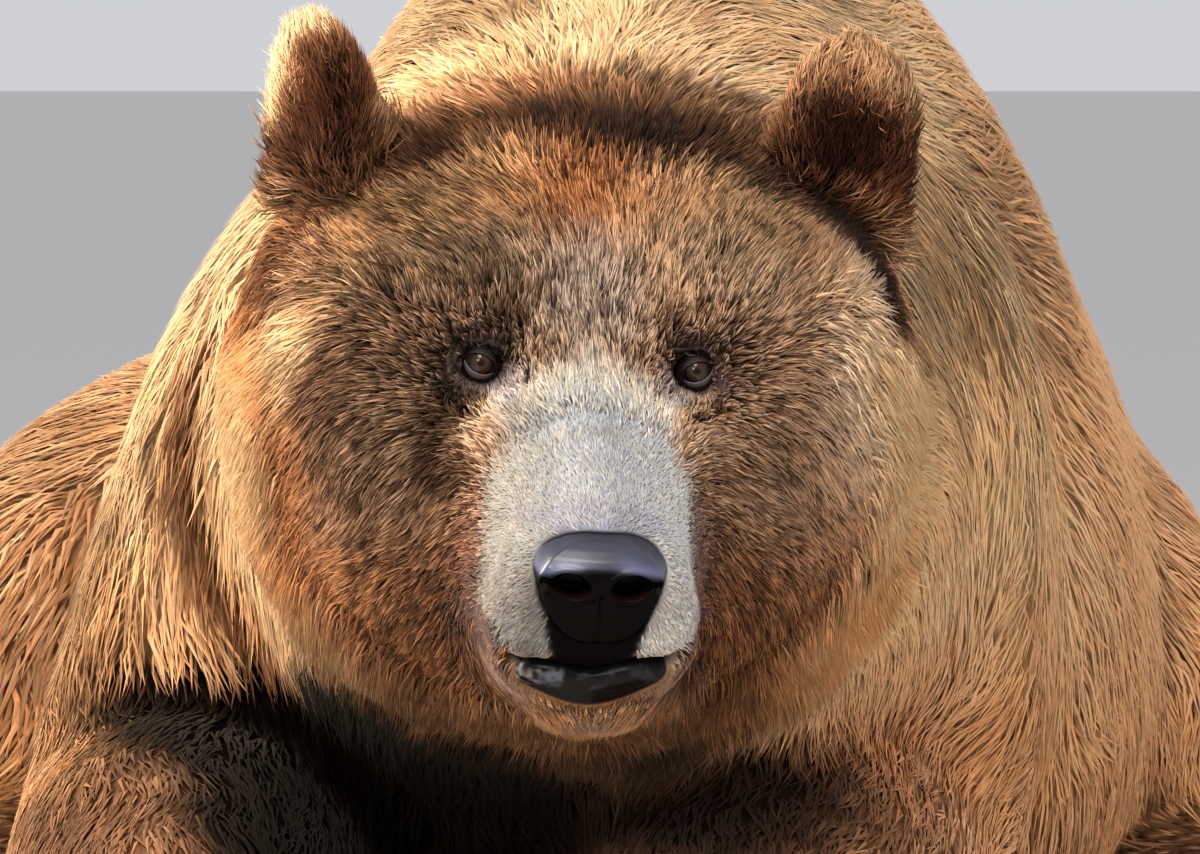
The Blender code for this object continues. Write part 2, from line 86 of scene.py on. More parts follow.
def from_head(places):
    """The way back from in_head to the shared frame."""
    return np.asarray(places) @ head_axes + between_eyes


HEAD_LOW = math.radians(16) + ONLOOKER_ABOVE  # the head's own tilt under the onlooker's eye
face_axes = np.stack([
    across,
    math.cos(HEAD_LOW) * above - math.sin(HEAD_LOW) * ahead,
    math.cos(HEAD_LOW) * ahead + math.sin(HEAD_LOW) * above,
])


def face_on(points):
    """Millimetres to the side, up and outward from between the eyes, as an onlooker in
    front of the lowered head would measure them."""
    return (np.asarray(points) - between_eyes) @ face_axes.T * 1000


def from_face(places):
    """The way back from face_on to the shared frame."""
    return np.asarray(places) / 1000 @ face_axes + between_eyes


# ---- the hide
# One skin is sewn over the whole body form, from the lips to the tail, so that no seam
# shows. It lies under the coat by the coat's own depth, and is bare at the lips, the
# nose's edge and round the eyes.

HIDE_GRAIN = 0.0104  # how finely the hide follows the form
FLESH = [n for n in sorted(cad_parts) if "claw" not in n and not n.startswith("eye")]
COAT_DEPTH = {  # metres of fur over the skin
    "head": 0.010, "lower_jaw": 0.012, "nose": 0.006, "ear": 0.003, "neck": 0.010,
    "trunk": 0.011, "tail": 0.010, "upper": 0.010, "forearm": 0.009, "thigh": 0.011,
    "paw": 0.007, "foot": 0.007,
}
BARE_FUR = 0.0035  # metres of fur on the snout
EYE_SIDE = 61.5  # millimetres from the middle of the face to each eye
PART_OF = [next(k for k in COAT_DEPTH if k in n) for n in FLESH]


def arrays_of(mesh):
    """Points, unit normals and triangle corners of a mesh as arrays."""
    co = np.empty(len(mesh.vertices) * 3)
    mesh.vertices.foreach_get("co", co)
    normal = np.empty(len(mesh.vertices) * 3)
    mesh.vertex_normals.foreach_get("vector", normal)
    loop = np.empty(len(mesh.loops), np.int32)
    mesh.loops.foreach_get("vertex_index", loop)
    return co.reshape(-1, 3), normal.reshape(-1, 3), loop.reshape(-1, 3)


def flesh_form():
    """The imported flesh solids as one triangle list, with the number of the node each
    triangle belongs to."""
    points, corners, owner, start = [], [], [], 0
    for number, name in enumerate(FLESH):
        co, _, loop = arrays_of(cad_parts[name].data)
        points.append(co)
        corners.append(loop + start)
        owner.append(np.full(len(loop), number))
        start += len(co)
    return np.concatenate(points), np.concatenate(corners), np.concatenate(owner)


def solid_mesh(name, points, corners):
    """A mesh from an array of points and an array of triangles or quads, shaded smooth."""
    mesh = bpy.data.meshes.new(name)
    sides = corners.shape[1]
    mesh.vertices.add(len(points))
    mesh.vertices.foreach_set("co", np.ascontiguousarray(points, np.float32).ravel())
    mesh.loops.add(corners.size)
    mesh.loops.foreach_set("vertex_index", np.ascontiguousarray(corners, np.int32).ravel())
    mesh.polygons.add(len(corners))
    mesh.polygons.foreach_set("loop_start", np.arange(0, corners.size, sides, dtype=np.int32))
    mesh.update(calc_edges=True)
    mesh.shade_smooth()
    return mesh


def placed(name, mesh):
    """An object at the origin, its place in its mesh."""
    piece = bpy.data.objects.new(name, mesh)
    bpy.context.scene.collection.objects.link(piece)
    return piece


points, corners, owner = flesh_form()
form = solid_mesh("hide", points, corners)
form.attributes.new("node", "INT", "FACE").data.foreach_set("value", owner.astype(np.int32))
bm = bmesh.new()
bm.from_mesh(form)
bmesh.ops.remove_doubles(bm, verts=bm.verts, dist=1e-6)
bm.to_mesh(form)
bm.free()
form.remesh_voxel_size = HIDE_GRAIN
form.use_remesh_preserve_attributes = True
form.use_remesh_fix_poles = False
hide = placed("hide", form)
bpy.context.view_layer.objects.active = hide
hide.select_set(True)
bpy.ops.object.voxel_remesh()
form = hide.data

# The face, and twice more the lips and the eyes, are cut finer than the body.
bm = bmesh.new()
bm.from_mesh(form)
FINER = (  # how far the finer cutting reaches, and from where, in the head's own frame
    (0.232, (0, -0.03, -0.05)),
    (0.080, (0, 0.15, -0.10)),
    (0.036, (EYE_SIDE / 1000, 0, 0)),
    (0.036, (-EYE_SIDE / 1000, 0, 0)),
    (0.046, (0, 0.175, -0.118)),
    (0.060, in_head(middle("ear_left"))),
    (0.060, in_head(middle("ear_right"))),
)
for reach, centre in FINER:
    centre = Vector(from_head(centre))
    near = {v for v in bm.verts if (v.co - centre).length < reach}
    edges = [e for e in bm.edges if e.verts[0] in near and e.verts[1] in near]
    bmesh.ops.subdivide_edges(bm, edges=edges, cuts=1, use_grid_fill=True)
bmesh.ops.triangulate(bm, faces=bm.faces)
bm.to_mesh(form)
bm.free()


def ring_of(corners, count, most=9):
    """Each point's neighbours, as a table filled up with the point itself."""
    pairs = np.concatenate([corners[:, [0, 1]], corners[:, [1, 2]], corners[:, [2, 0]]])
    pairs = np.unique(np.concatenate([pairs, pairs[:, ::-1]]), axis=0)
    first = np.searchsorted(pairs[:, 0], np.arange(count))
    rank = np.arange(len(pairs)) - first[pairs[:, 0]]
    table = np.repeat(np.arange(count)[:, None], most, 1)
    kept = rank < most
    table[pairs[kept, 0], rank[kept]] = pairs[kept, 1]
    return table


def evened(values, ring, times):
    """Each value moved halfway to the mean of its neighbours, that many times."""
    for _ in range(times):
        values = 0.5 * values + 0.5 * values[ring].mean(1)
    return values


def bell(values, centre, width):
    """exp(-t^2), where t is the distance from the centre in widths."""
    return np.exp(-(((values - centre) / width) ** 2))


def hump(places, centre, size):
    """exp(-r^2), where r is the distance from the centre in widths of `size`."""
    away = (places - np.array(centre)) / np.array(size)
    return np.exp(-(away**2).sum(-1))


def share_of(table, *starts):
    """How much each point belongs to the nodes whose names start so."""
    return table[:, [i for i, n in enumerate(FLESH) if n.startswith(starts)]].sum(1)


def eye_distance(seen):
    """Millimetres on the face from the nearer eye."""
    return np.hypot(np.abs(seen[:, 0]) - EYE_SIDE, seen[:, 1])


def disc_of(seen):
    """0 in the middle of the round face and 1 at its edge: the distance in half sizes."""
    return np.hypot(seen[:, 0] / 200, (seen[:, 1] + 55) / 158)


skin, skin_normal, corners = arrays_of(form)
ring = ring_of(corners, len(skin))
node_of = np.empty(len(form.polygons), np.int32)
form.attributes["node"].data.foreach_get("value", node_of)
share = np.zeros((len(skin), len(FLESH)))
for corner in range(3):
    np.add.at(share, (corners[:, corner], node_of), 1.0)
share = share / share.sum(1, keepdims=True)
sharp_share = evened(share, ring, 3)
share = evened(share, ring, 26)
skin = evened(skin, ring, 3)

place, seen = in_head(skin), face_on(skin)
on_head = share_of(sharp_share, "head", "lower_jaw", "nose")
on_ear = share_of(sharp_share, "ear")
snout = ramp(place[:, 1], 0.035, 0.075) * share_of(share, "head", "lower_jaw", "nose")
round_face = disc_of(seen)
ruff = ramp(round_face, 0.80, 0.98) * ramp(place[:, 1], 0.05, -0.02)
ruff = ruff * ramp(seen[:, 1], 70, 10) * on_head
from_eye = eye_distance(seen)

depth = share @ np.array([COAT_DEPTH[k] for k in PART_OF])
depth += 0.008 * ruff + 0.004 * ramp(seen[:, 1], 90, 130) * on_head
depth = depth * (1 - snout) + BARE_FUR * snout
depth = np.where(on_head > 0.5, np.minimum(depth, 0.004 + 0.00016 * from_eye), depth)
depth = np.where(skin[:, 2] < 0.03, np.minimum(depth, 0.008), depth)  # pressed to the floor
depth = np.clip(evened(depth, ring, 4), 0.002, 0.04)
inward = unit(evened(skin_normal, ring, 4))
skin = skin - inward * depth[:, None]
rise = (seen[:, 1] - 113) / 60  # up each ear, from its foot
lean = np.where(seen[:, 0] < 0, -8 + 14 * rise, -13 * rise) * evened(on_ear, ring, 10) / 1000
skin = skin + across * lean[:, None]

# Modelled one by one: brows over sunken eyes, a stop between them, cheek hollows beside the
# muzzle, the seat of the nose, and the lips either side of the mouth's line.
place = in_head(skin)
both = np.stack([np.abs(place[:, 0]), place[:, 1], place[:, 2]], 1)
MODELLED = (  # metres outward, centre and size
    (0.0050, (0.056, -0.012, 0.034), (0.024, 0.05, 0.012)),
    (0.0035, (0.083, -0.006, 0.012), (0.013, 0.05, 0.020)),
    (-0.0045, (0.040, 0.012, 0.000), (0.010, 0.05, 0.014)),
    (-0.0030, (0.0, -0.01, 0.030), (0.011, 0.05, 0.028)),
    (-0.0050, (0.074, 0.02, -0.050), (0.014, 0.06, 0.030)),
    (0.0030, (0.040, 0.13, -0.100), (0.018, 0.05, 0.018)),
)
push = sum(out * hump(both, centre, size) for out, centre, size in MODELLED)
skin = skin + skin_normal * (push * (on_head > 0.3))[:, None]
place = in_head(skin)
in_socket = np.minimum(1, 1.6 * np.exp(-((from_eye / 11.2) ** 4)))
place[:, 1] -= 0.011 * in_socket * (on_head > 0.5) * (place[:, 1] > -0.06)
NOSE_WIDE, NOSE_HIGH = 0.0385, 0.0318  # half sizes of the bare nose
NOSE_TAPER = (  # its width at each height, both in half sizes
    [-1.0, -0.7, -0.35, 0.0, 0.40, 0.70, 1.0],
    [0.66, 0.72, 0.82, 0.93, 1.01, 0.97, 0.88],
)
nose_mid = in_head(middle("nose"))


def round_pad(side, up):
    """1 at the nose pad's outline: (|x|^3 + |z|^3)^(1/3), with x measured in half widths that
    narrow towards the lip and z in half heights."""
    z = up / NOSE_HIGH
    x = side / (NOSE_WIDE * np.interp(z, *NOSE_TAPER))
    return (np.abs(x) ** 3 + np.abs(z) ** 3) ** (1 / 3)


pad = round_pad(place[:, 0], place[:, 2] - nose_mid[2])
place[:, 1] -= 0.010 * ramp(pad, 0.98, 0.80) * (place[:, 1] > 0.12)
seen = face_on(from_head(place))
wide = np.abs(seen[:, 0] + 1.5)
to_mouth = seen[:, 1] + 167 - 5 * ramp(wide, 0, 34) - 1.6 * seen[:, 0] / 40
to_mouth = (to_mouth - 30 * ramp(wide, 38, 72)) / 1000  # metres above the mouth's line
at_lips = ramp(place[:, 1], 0.07, 0.11) * ramp(wide, 66, 54)
mouth_cut = bell(to_mouth, 0, 0.0024) * at_lips * ramp(wide, 52, 42)
lip_roll = bell(to_mouth, -0.0085, 0.0060) * at_lips
flews = bell(to_mouth, 0.009, 0.0070) * at_lips * ramp(wide, 12, 26)
skin = from_head(place)
push = -0.0060 * mouth_cut + 0.0030 * lip_roll + 0.0028 * flews
skin = skin + skin_normal * push[:, None]
skin[:, 2] = np.maximum(skin[:, 2], 0.0015)
form.vertices.foreach_set("co", skin.astype(np.float32).ravel())
form.update()
form.shade_smooth()
skin, skin_normal, corners = arrays_of(form)
place, seen = in_head(skin), face_on(skin)
from_eye = eye_distance(seen)
lower_edge = -0.0195 * np.clip(1 - (wide / 41.5) ** 3, 0, 1) ** 0.6 - 0.001
lower_bare = ramp(to_mouth - lower_edge, -0.001, 0.0015) * ramp(to_mouth, 0.0014, -0.0006)
lower_bare = lower_bare * at_lips * ramp(wide, 44, 40)
upper_edge = wide - 0.28 * (seen[:, 1] + 162) + 0.5 * np.sin(1.1 * seen[:, 1])
upper_bare = ramp(to_mouth, -0.003, 0.0) * ramp(upper_edge, 25.5, 19.0)
upper_bare = upper_bare * ramp(seen[:, 1], -118, -126) * at_lips
nose_seat = ramp(pad, 1.0, 0.92) * (place[:, 1] > 0.12)
lips = np.clip(lower_bare + upper_bare + nose_seat, 0, 1)

bpy.ops.object.mode_set(mode="EDIT")
bpy.ops.mesh.select_all(action="SELECT")
bpy.ops.uv.smart_project(angle_limit=math.radians(66), island_margin=0.001)
bpy.ops.object.mode_set(mode="OBJECT")
form.uv_layers[0].name = "OFBake"
unwrap = np.empty(len(form.loops) * 2, np.float32)
form.uv_layers["OFBake"].uv.foreach_get("vector", unwrap)
unwrap = unwrap.reshape(-1, 3, 2)


# ---- the lie of the coat
# Fur grows from the nose backwards: up over the forehead, out over the cheeks and along
# the neck, then back along the body and down the limbs to the toes. Each lock starts
# under the skin and is walked over the hide the way the fur lies there.

BODY_LEAN = {"neck": (0, 0.9, -0.75), "tail": (0, 0.6, -0.8), "thigh": (0, 0.35, -0.9)}
LIMB_LEAN = {  # the limb's next part, which its fur points to, and how much it also hangs
    "upper": ("forearm", 0.8),
    "forearm": ("paw", 0.5),
    "paw": ("claw_3", 0.25),
    "foot": ("claw_3", 0.25),
}


def lie_of(node, points):
    """The direction the fur leans on one node, before it is laid flat on the hide."""
    here = in_head(points)
    side, forward, up = here.T
    out = np.sign(side)
    if node in ("head", "lower_jaw", "nose"):
        away = unit(here - np.array([0, 0.185, -0.050]))
        parted = ramp(up, 0.03, 0.07) * ramp(np.abs(side), 0.005, 0.07)
        aside = np.stack([0.40 * out, 0 * out, np.full(len(out), -0.16)], 1)
        away = unit(away + parted[:, None] * aside)
        cheek = ramp(up, 0.030, -0.030) * ramp(np.abs(side), 0.058, 0.085)
        cheek = cheek * ramp(forward, 0.10, 0.05)
        away = unit(away + cheek[:, None] * np.array([0, -0.10, -0.95]))
        hanging = (ramp(np.abs(side), 0.105, 0.145) * ramp(up, 0.05, -0.01))[:, None]
        hang = unit(np.stack([0.5 * out, np.full(len(out), -0.20), np.full(len(out), -0.9)], 1))
        away = unit(away * (1 - hanging) + hang * hanging)
        bearded = (ramp(up, -0.128, -0.142) * ramp(forward, 0.02, 0.06))[:, None]
        away = unit(away * (1 - bearded) + unit(np.array([0.0, 0.6, -1.0])) * bearded)
        return away @ head_axes
    if node.startswith("ear"):
        foot = in_head(middle(node)) - np.array([0, 0, 0.055])
        return unit(unit(here - foot) + np.array([0, -0.25, 0])) @ head_axes
    if node == "trunk":
        lower = ramp(points[:, 2], 0.62, 0.25)[:, None]
        return unit(np.array([0, 1.0, 0]) - np.array([0, 0, 1]) * (0.35 + 0.75 * lower))
    for part, lean in BODY_LEAN.items():
        if part in node:
            return unit(np.array(lean))
    limb, part = node.rsplit("_", 1)
    onward, hang = LIMB_LEAN[part]
    return unit(unit(middle(f"{limb}_{onward}") - middle(node)) - np.array([0, 0, hang]))


def laid_flat(directions, normals):
    """The directions without the part that points out of the hide, made unit again."""
    return unit(directions - normals * (directions * normals).sum(1, keepdims=True))


lie = np.zeros_like(skin)
for number, node in enumerate(FLESH):
    lie += share[:, number : number + 1] * lie_of(node, skin)
for _ in range(6):
    lie = laid_flat(evened(lie, ring, 3), skin_normal)


# ---- the markings, with painted light and shade
# Gold on the brow, the ruff and the back, brown on the face and a pale grey muzzle, with
# painted light and shade laid over them: near black painted shade between the limbs and
# under the throat, sides painted lighter and darker, and a painted rim light on the ruff.
# The hide and each lock take their colour from one formula.


def drift(points, size, seed):
    """Smooth random values from -1 to 1 that change over about `size`: a random number at
    each corner of a cubic lattice, blended between corners by 3t^2 - 2t^3."""
    spot = points / size + seed * 17.31
    low = np.floor(spot).astype(np.int64)
    t = spot - low
    t = t * t * (3 - 2 * t)
    total = 0
    for corner in np.ndindex(2, 2, 2):
        x, y, z = (low + corner).T
        mixed = x * 73856093 ^ y * 19349663 ^ z * 83492791 ^ (seed * 2654435)
        mixed = (mixed ^ (mixed >> 13)) * 1274126177 & 0x7FFFFFFF
        value = ((mixed ^ (mixed >> 16)) & 0xFFFF) / 32767.5 - 1
        near = np.where(corner, t, 1 - t)
        total = total + value * near[:, 0] * near[:, 1] * near[:, 2]
    return total


SHADE = None  # stands for the colour in a layer that only lightens or darkens


def blend(base, colour, amount):
    """base moved towards a colour by an amount from 0 to 1."""
    return base + (np.asarray(colour, float) - base) * np.clip(amount, 0, 1)[:, None]


def tinted(base, *layers):
    """The base colour after each layer in turn. A layer is a colour and how much of it is
    blended in, or SHADE and the share by which what lies there turns lighter."""
    base = np.asarray(base, float)
    for colour, amount in layers:
        if colour is SHADE:
            base = base * (1 + amount)[:, None]
        else:
            base = blend(base, colour, amount)
    return base


def patch(seen, side, up, half_wide, half_high, soft, core=None):
    """1 inside an ellipse on the face, in millimetres, fading out by `soft` of its size on
    both sides of its edge, or from `core` of its size on."""
    away = np.hypot((seen[:, 0] - side) / half_wide, (seen[:, 1] - up) / half_high)
    return ramp(away, 1 + soft, 1 - soft if core is None else core)


def patches(seen, *rows):
    """The sum of patches: each row gives a strength and then a patch's own numbers."""
    return sum(strength * patch(seen, *row) for strength, *row in rows)


def muzzle_pale(f, h):
    """1 on the pale muzzle: the part of the snout within about 54 mm of the middle, a little
    wider below on the right side of the head, and rounded off over the corners of the mouth."""
    wide = np.abs(f[:, 0])
    side = wide + (0.045 - 0.035 * np.tanh(f[:, 0] / 20)) * (f[:, 1] + 60)
    corner = np.hypot(np.maximum(wide - 30, 0) / 28, np.maximum(-126 - f[:, 1], 0) / 34)
    return ramp(h[:, 1], 0.035, 0.065) * ramp(side, 58, 51) * ramp(corner, 1.08, 0.94)


def bridge_pale(f, h):
    """1 on the pale bridge between the eyes, with a ragged V at its top."""
    wide, up = np.abs(f[:, 0]), f[:, 1]
    v_shape = ramp(wide, 56 + 0.05 * up, 44) * ramp(up + 0.30 * wide, 4, -16)
    return v_shape * ramp(h[:, 1], -0.02, 0.02)


def markings(points, parts):
    """The coat's colour at each place, as 0-255 sRGB, from where it is on the body: its own
    markings with painted light and shade laid over them.
    """
    f, h = face_on(points), in_head(points)
    x, y, z = f.T
    wide, high = np.abs(x), points[:, 2]
    sides = np.stack([wide, y], 1)  # both sides of the face at once
    cloud = drift(points, 0.035, 41)
    disc = disc_of(f)
    ragged_disc = disc + 0.02 * cloud
    fore, hind = share_of(parts, "foreleg"), share_of(parts, "hindleg")
    body = share_of(parts, "trunk", "neck", "tail")
    paws = share_of(parts, *[n for n in FLESH if n.endswith(("paw", "foot"))])

    # the body: gold along the back, orange brown down the sides, near black painted shade
    # between the limbs, and parts painted lighter and darker as the light falls on them
    front_part, off_face = ramp(z, -900, -700), ramp(z, -60, -160)
    # painted shade: a darker ring on the neck just outside the face's ruff
    behind = bell(disc, 1.10, 0.06) * ramp(y, 60, -20) * ramp(x, 60, -80)
    # painted shade: near black where the forelegs and chest lie in each other's shadow
    gap = patches(
        f, (1, -94, -262, 106, 88, 0.3), (0.95, -215, -205, 70, 26, 0.6),
        (1, -135, -202, 44, 34, 0.5), (0.7, 90, -235, 90, 50, 0.5), (0.85, -150, -235, 70, 50, 0.5),
    )
    colour = tinted(
        (208, 156, 110),
        ((206, 168, 118), ramp(high + 0.03 * cloud, 0.54, 0.76) * body * 0.85),
        ((162, 112, 72), ramp(high + 0.02 * cloud, 0.34, 0.10) * (body + hind)),
        ((216, 172, 126), share_of(parts, "neck") * 0.85),
        ((238, 188, 136), fore),
        ((212, 150, 100), fore * ramp(high, 0.40, 0.22)),
        ((172, 124, 86), hind * ramp(high, 0.12, 0.30) * 0.8),
        ((122, 82, 56),
         fore * ramp(y + 14 * cloud, -186, -236) * ramp(z + 40 * cloud, -420, -180) * 0.9),
        ((108, 72, 48),
         (fore + hind) * ramp(high, 0.22, 0.08) * ramp(z + 40 * cloud, -160, 120) * 0.8),
        ((80, 55, 40), paws * ramp(high + 0.02 * cloud, 0.17, 0.03)),
        # painted light: the body's side to the animal's left lighter
        (SHADE, 0.20 * ramp(points[:, 0], 0.14, 0.34) + 0.14 * ramp(points[:, 0], 0.32, 0.48)),
        # the painted shade ring round the ruff
        ((98, 60, 36), behind * ramp(z, -80, -120) * ramp(z, -460, -320)),
        # painted shade high on the shoulder to the animal's left
        (SHADE, -0.32 * patch(f, 250, 76, 76, 84, 0.7) * off_face * front_part),
        # painted light low on the shoulder to the animal's left
        (SHADE, 0.17 * patch(f, 275, -120, 120, 120, 0.6) * front_part),
        ((150, 92, 56), 0.45 * patch(f, 212, -196, 60, 34, 0.6) * off_face * front_part),
        # painted shade high on the shoulder to the animal's left
        (SHADE, -0.10 * patch(f, 228, 112, 46, 50, 0.6) * front_part),
        # painted shade: the animal's right side darker
        (SHADE, -ramp(x, -215, -265) * off_face * (0.10 + 0.14 * front_part)),
        # painted shade on the top of the back, to the animal's right
        (SHADE, -0.30 * ramp(y, 150, 185) * ramp(x, 10, -40) * ramp(z, -140, -190)
         * ramp(z, -620, -380)),
        # painted shade low on the animal's right shoulder
        (SHADE, -0.12 * patch(f, -262, -110, 44, 90, 0.6) * off_face * front_part),
        # painted shade on the flank just past the animal's right shoulder
        ((150, 100, 66), body * patch(f, -345, -120, 48, 60, 0.7) * ramp(z, -750, -900) * 0.6),
        # the painted shade between the limbs
        ((12, 6, 4), gap * ramp(z, -460, -370) * ramp(z, 40, -20)),
    )

    # the head: brown disc, dark band and gold brow over it, pale bridge and muzzle, and
    # painted shadows, painted shade and painted light over them
    over = y - (109 - 0.0010 * x**2 - 6e-8 * x**4 + 4 * cloud)  # above the brow's arc
    # the dark band behind the brow: partly dark fur, partly painted shade in the hollow there
    band = ramp(over, -8, 4) * ramp(over, 34, 12) * ramp(z, -10, -40)
    band = band * (1 - 0.5 * ramp(cloud, -0.2, 0.5)) * (1 - 0.5 * ramp(x, -70, -110))
    band = band * (1 - 0.45 * ramp(x, 60, 100) * ramp(x, 136, 104))
    shadows = patches(
        f, (0.32, -86, 54, 54, 36, 0.6), (0.30, -98, -26, 44, 40, 0.6),
        (0.14, -92, -80, 40, 30, 0.6), (0.26, -68, -40, 14, 32, 0.5), (0.12, -92, 60, 44, 30, 0.6),
        (0.12, 84, 48, 40, 30, 0.6), (0.14, -140, 18, 34, 40, 0.6), (0.26, -76, -136, 40, 34, 0.6),
        (0.14, 80, -130, 34, 34, 0.6),
    )
    bridge, muzzle = bridge_pale(f, h), muzzle_pale(f, h)
    # painted shade in the crease across the top of the muzzle
    crease_shade = bell(np.hypot(x / 38, (y + 72) / 32), 1, 0.10) * ramp(y, -62, -50)
    row = np.round(y / 7.5)  # whiskers stand in rows, each half a step from the next
    whisker = np.hypot(np.mod(x + 3.5 * np.mod(row, 2), 7) - 3.5, y - 7.5 * row)
    whisker = ramp(whisker, 2.2, 0.8) * ramp(wide, 34, 40) * ramp(y, -96, -108)
    beard = ramp(h[:, 1], 0.0, 0.04) * ramp(wide, 62, 48) * ramp(y, -176, -186)
    rim = ramp(ragged_disc, 0.78, 0.90) * ramp(y, 50, 0)
    fold = bell(x + 0.19 * y + 4 * cloud, -170, 9) * ramp(y, 50, 20) * ramp(y, -130, -90)
    throat_shade = ramp(ragged_disc, 0.86, 0.93) * ramp(y, -134, -152) * ramp(x, 100, 50)
    face = tinted(
        (130, 93, 68),
        # darker brown towards the lower face: partly its own colour, partly painted shade
        ((106, 66, 42), ramp(y + 0.25 * wide, -20, -110)),
        ((222, 190, 158), 0.85 * patch(f, 156, 14, 32, 66, 0.6)),
        ((144, 112, 84), ramp(over, -100, -50) * ramp(wide, 150, 90) * ramp(y, 10, 40)),
        ((160, 112, 70),
         ramp(over, -50, -24) * ramp(wide, 160, 110) * (0.5 + 0.2 * ramp(x, 60, -30))),
        ((132, 82, 48), patch(f, -2, 86, 56, 26, 0.7) * (0.35 + 0.15 * cloud)),
        ((112, 62, 33), patch(f + 7 * cloud[:, None], -2, 86, 22, 38, 0.7) * 0.72),
        ((124, 100, 86), patch(f, 0, 26, 26, 34, 0.5)),
        ((74, 52, 40), patch(f, 0, 17, 1, 1, 0.5) + 0.75 * patch(sides, 46, 19, 12, 9, 0.4, 0.5)),
        ((70, 50, 40), 0.25 * patch(sides, 84, -2, 12, 7, 0.5, 0.6)),
        # painted shade round the face's edge to the animal's right, and painted light low on its
        # left cheek
        (SHADE, -0.24 * ramp(x, 20, -50) * ramp(disc, 0.92, 0.74) * ramp(y, -60, 0)),
        (SHADE, 0.36 * ramp(x, 110, 165) * ramp(y, -130, -50)),
        (SHADE, -shadows),
        ((190, 183, 171), bridge),
        ((168, 173, 179), patch(f, 0, -62, 34, 34, 0.6) * bridge),
        ((168, 165, 160), muzzle),
        ((156, 161, 168), patch(f, 0, -60, 30, 34, 0.6) * muzzle),
        ((150, 144, 138), muzzle * ramp(y, -96, -134)),
        ((150, 150, 160), patch(f, 0, -86, 36, 10, 0.5) * muzzle),
        ((158, 152, 142), 0.45 * crease_shade * muzzle),
        ((108, 100, 96), 0.55 * whisker * muzzle),
        # painted light on the muzzle's left side and painted shade on its right
        (SHADE, muzzle * (ramp(x, 5, 45) * (0.22 + 0.14 * ramp(y, -96, -126)) - 0.04)),
        (SHADE, -0.15 * np.clip(muzzle + bridge, 0, 1) * ramp(x, -12, -34)),
        ((178, 138, 108),
         patch(sides, 53, -40, 9, 20, 0.5, 0.6) * (0.45 + 0.25 * ramp(x, -10, 10))),
        ((205, 196, 200), 0.8 * patch(sides, 46, -22, 8, 6, 0.5, 0.6)),
        ((142, 131, 138), 0.85 * patch(sides, 51, -11, 15, 10, 0.5, 0.7)),
        ((138, 117, 112), 0.75 * patch(sides, 57, -9, 22, 13, 0.4, 0.5) * ramp(y, 5, -3)),
        # above each eye: partly dark short hair, partly painted shade under the brow
        ((50, 36, 30), 0.85 * patch(sides, 60, 10, 15, 7, 0.5, 0.7)),
        ((250, 196, 146), beard),
        # painted light on the chin fringe to the animal's right, and painted shade to its left
        (SHADE, beard * (0.30 * ramp(x, 0, -30) - 0.12 * ramp(x, 5, 30))),
        # painted shade on the lower part of the chin fringe
        ((112, 66, 40),
         beard * ramp(y + 3 * cloud, -188, -199) * (1 - 0.35 * ramp(x, -10, -40))),
        ((250, 204, 152), ramp(over, 26, 42)),
        # painted shade on the crown to the animal's right
        (SHADE, -0.20 * ramp(over, 40, 60) * ramp(x, -10, -60)),
        ((104, 68, 44),
         ramp(over, 0, 8) * ramp(over, 62, 36) * (0.7 + 0.3 * ramp(cloud, 0.3, -0.3))),
        ((30, 16, 10), band),
        # the ruff's rim: partly its own gold, partly painted rim light, brightest to the animal's
        # right
        ((255, 214, 158), rim * (0.95 + 0.05 * ramp(x, 60, -60))),
        ((236, 170, 110), rim * ramp(x, 20, 90) * (0.3 + 0.6 * ramp(y, -60, -120))),
        ((184, 112, 64), 0.6 * fold),
        ((206, 134, 80), patches(f, (0.55, -204, 10, 20, 44, 0.6), (0.4, -150, -130, 50, 30, 0.7))),
        # painted shade: the neck darker just outside the ruff, to the animal's right
        ((148, 96, 60),
         ramp(ragged_disc, 1.00, 1.07) * ramp(x, -80, -130) * ramp(y, 60, 20) * 0.9),
        ((120, 78, 48), ramp(disc, 0.62, 0.78) * ramp(y, -120, -165) * ramp(wide, 150, 90) * 0.8),
        # painted shade: near black under the throat, in the head's shadow
        ((24, 14, 9), throat_shade * (1 - beard) * (1 - 0.25 * ramp(x, -10, 30))),
        ((200, 160, 116), ramp(z, -190, -235) * ramp(y, 40, 90)),
    )

    # the ears: dark inside and at the foot, and a pale gold rim that is partly painted rim light
    on_right = ramp(x, 10, -10)
    rim_at = np.hypot(
        (x + 150 * on_right - 148 * (1 - on_right)) / (38 - 14 * on_right),
        (y - 126 - 18 * on_right) / (48 - 8 * on_right),
    )
    hollow = np.hypot(x - np.where(x < 0, -146, 143), y - 124)
    inner = tinted(
        np.array([100.0, 62.0, 41.0]) * (1 - 0.25 * on_right[:, None]),
        ((42, 23, 16), ramp(hollow + 12 * cloud, 50 - 22 * on_right, 6) * (1 - 0.2 * on_right)),
        ((178, 124, 84), 0.6 * ramp(rim_at + 0.2 * cloud, 0.35, 0.95) * ramp(y, 106, 146)),
        # the pale gold rim: partly its own colour, partly painted rim light on the animal's right
        # ear
        ((250, 224, 174), ramp(rim_at + 0.12 * cloud, 0.72, 1.05) * ramp(y, 112, 140)
         * (0.26 + 0.7 * on_right * ramp(x, -126, -140))),
    )
    face = blend(face, inner, share_of(parts, "ear"))
    return blend(colour, face, share_of(parts, "head", "lower_jaw", "nose", "ear"))


# ---- the hide's colour
# The tanned skin takes the colour of the coat over it, painted darker as shade under the
# locks, and is matt, with fine pores. Round the eyes it is lilac grey, and at the lips black
# and moist.


def linear(colour):
    """Light values of 0-255 sRGB colours."""
    c = np.clip(colour / 255, 0, 1)
    return np.where(c <= 0.04045, c / 12.92, ((c + 0.055) / 1.055) ** 2.4)


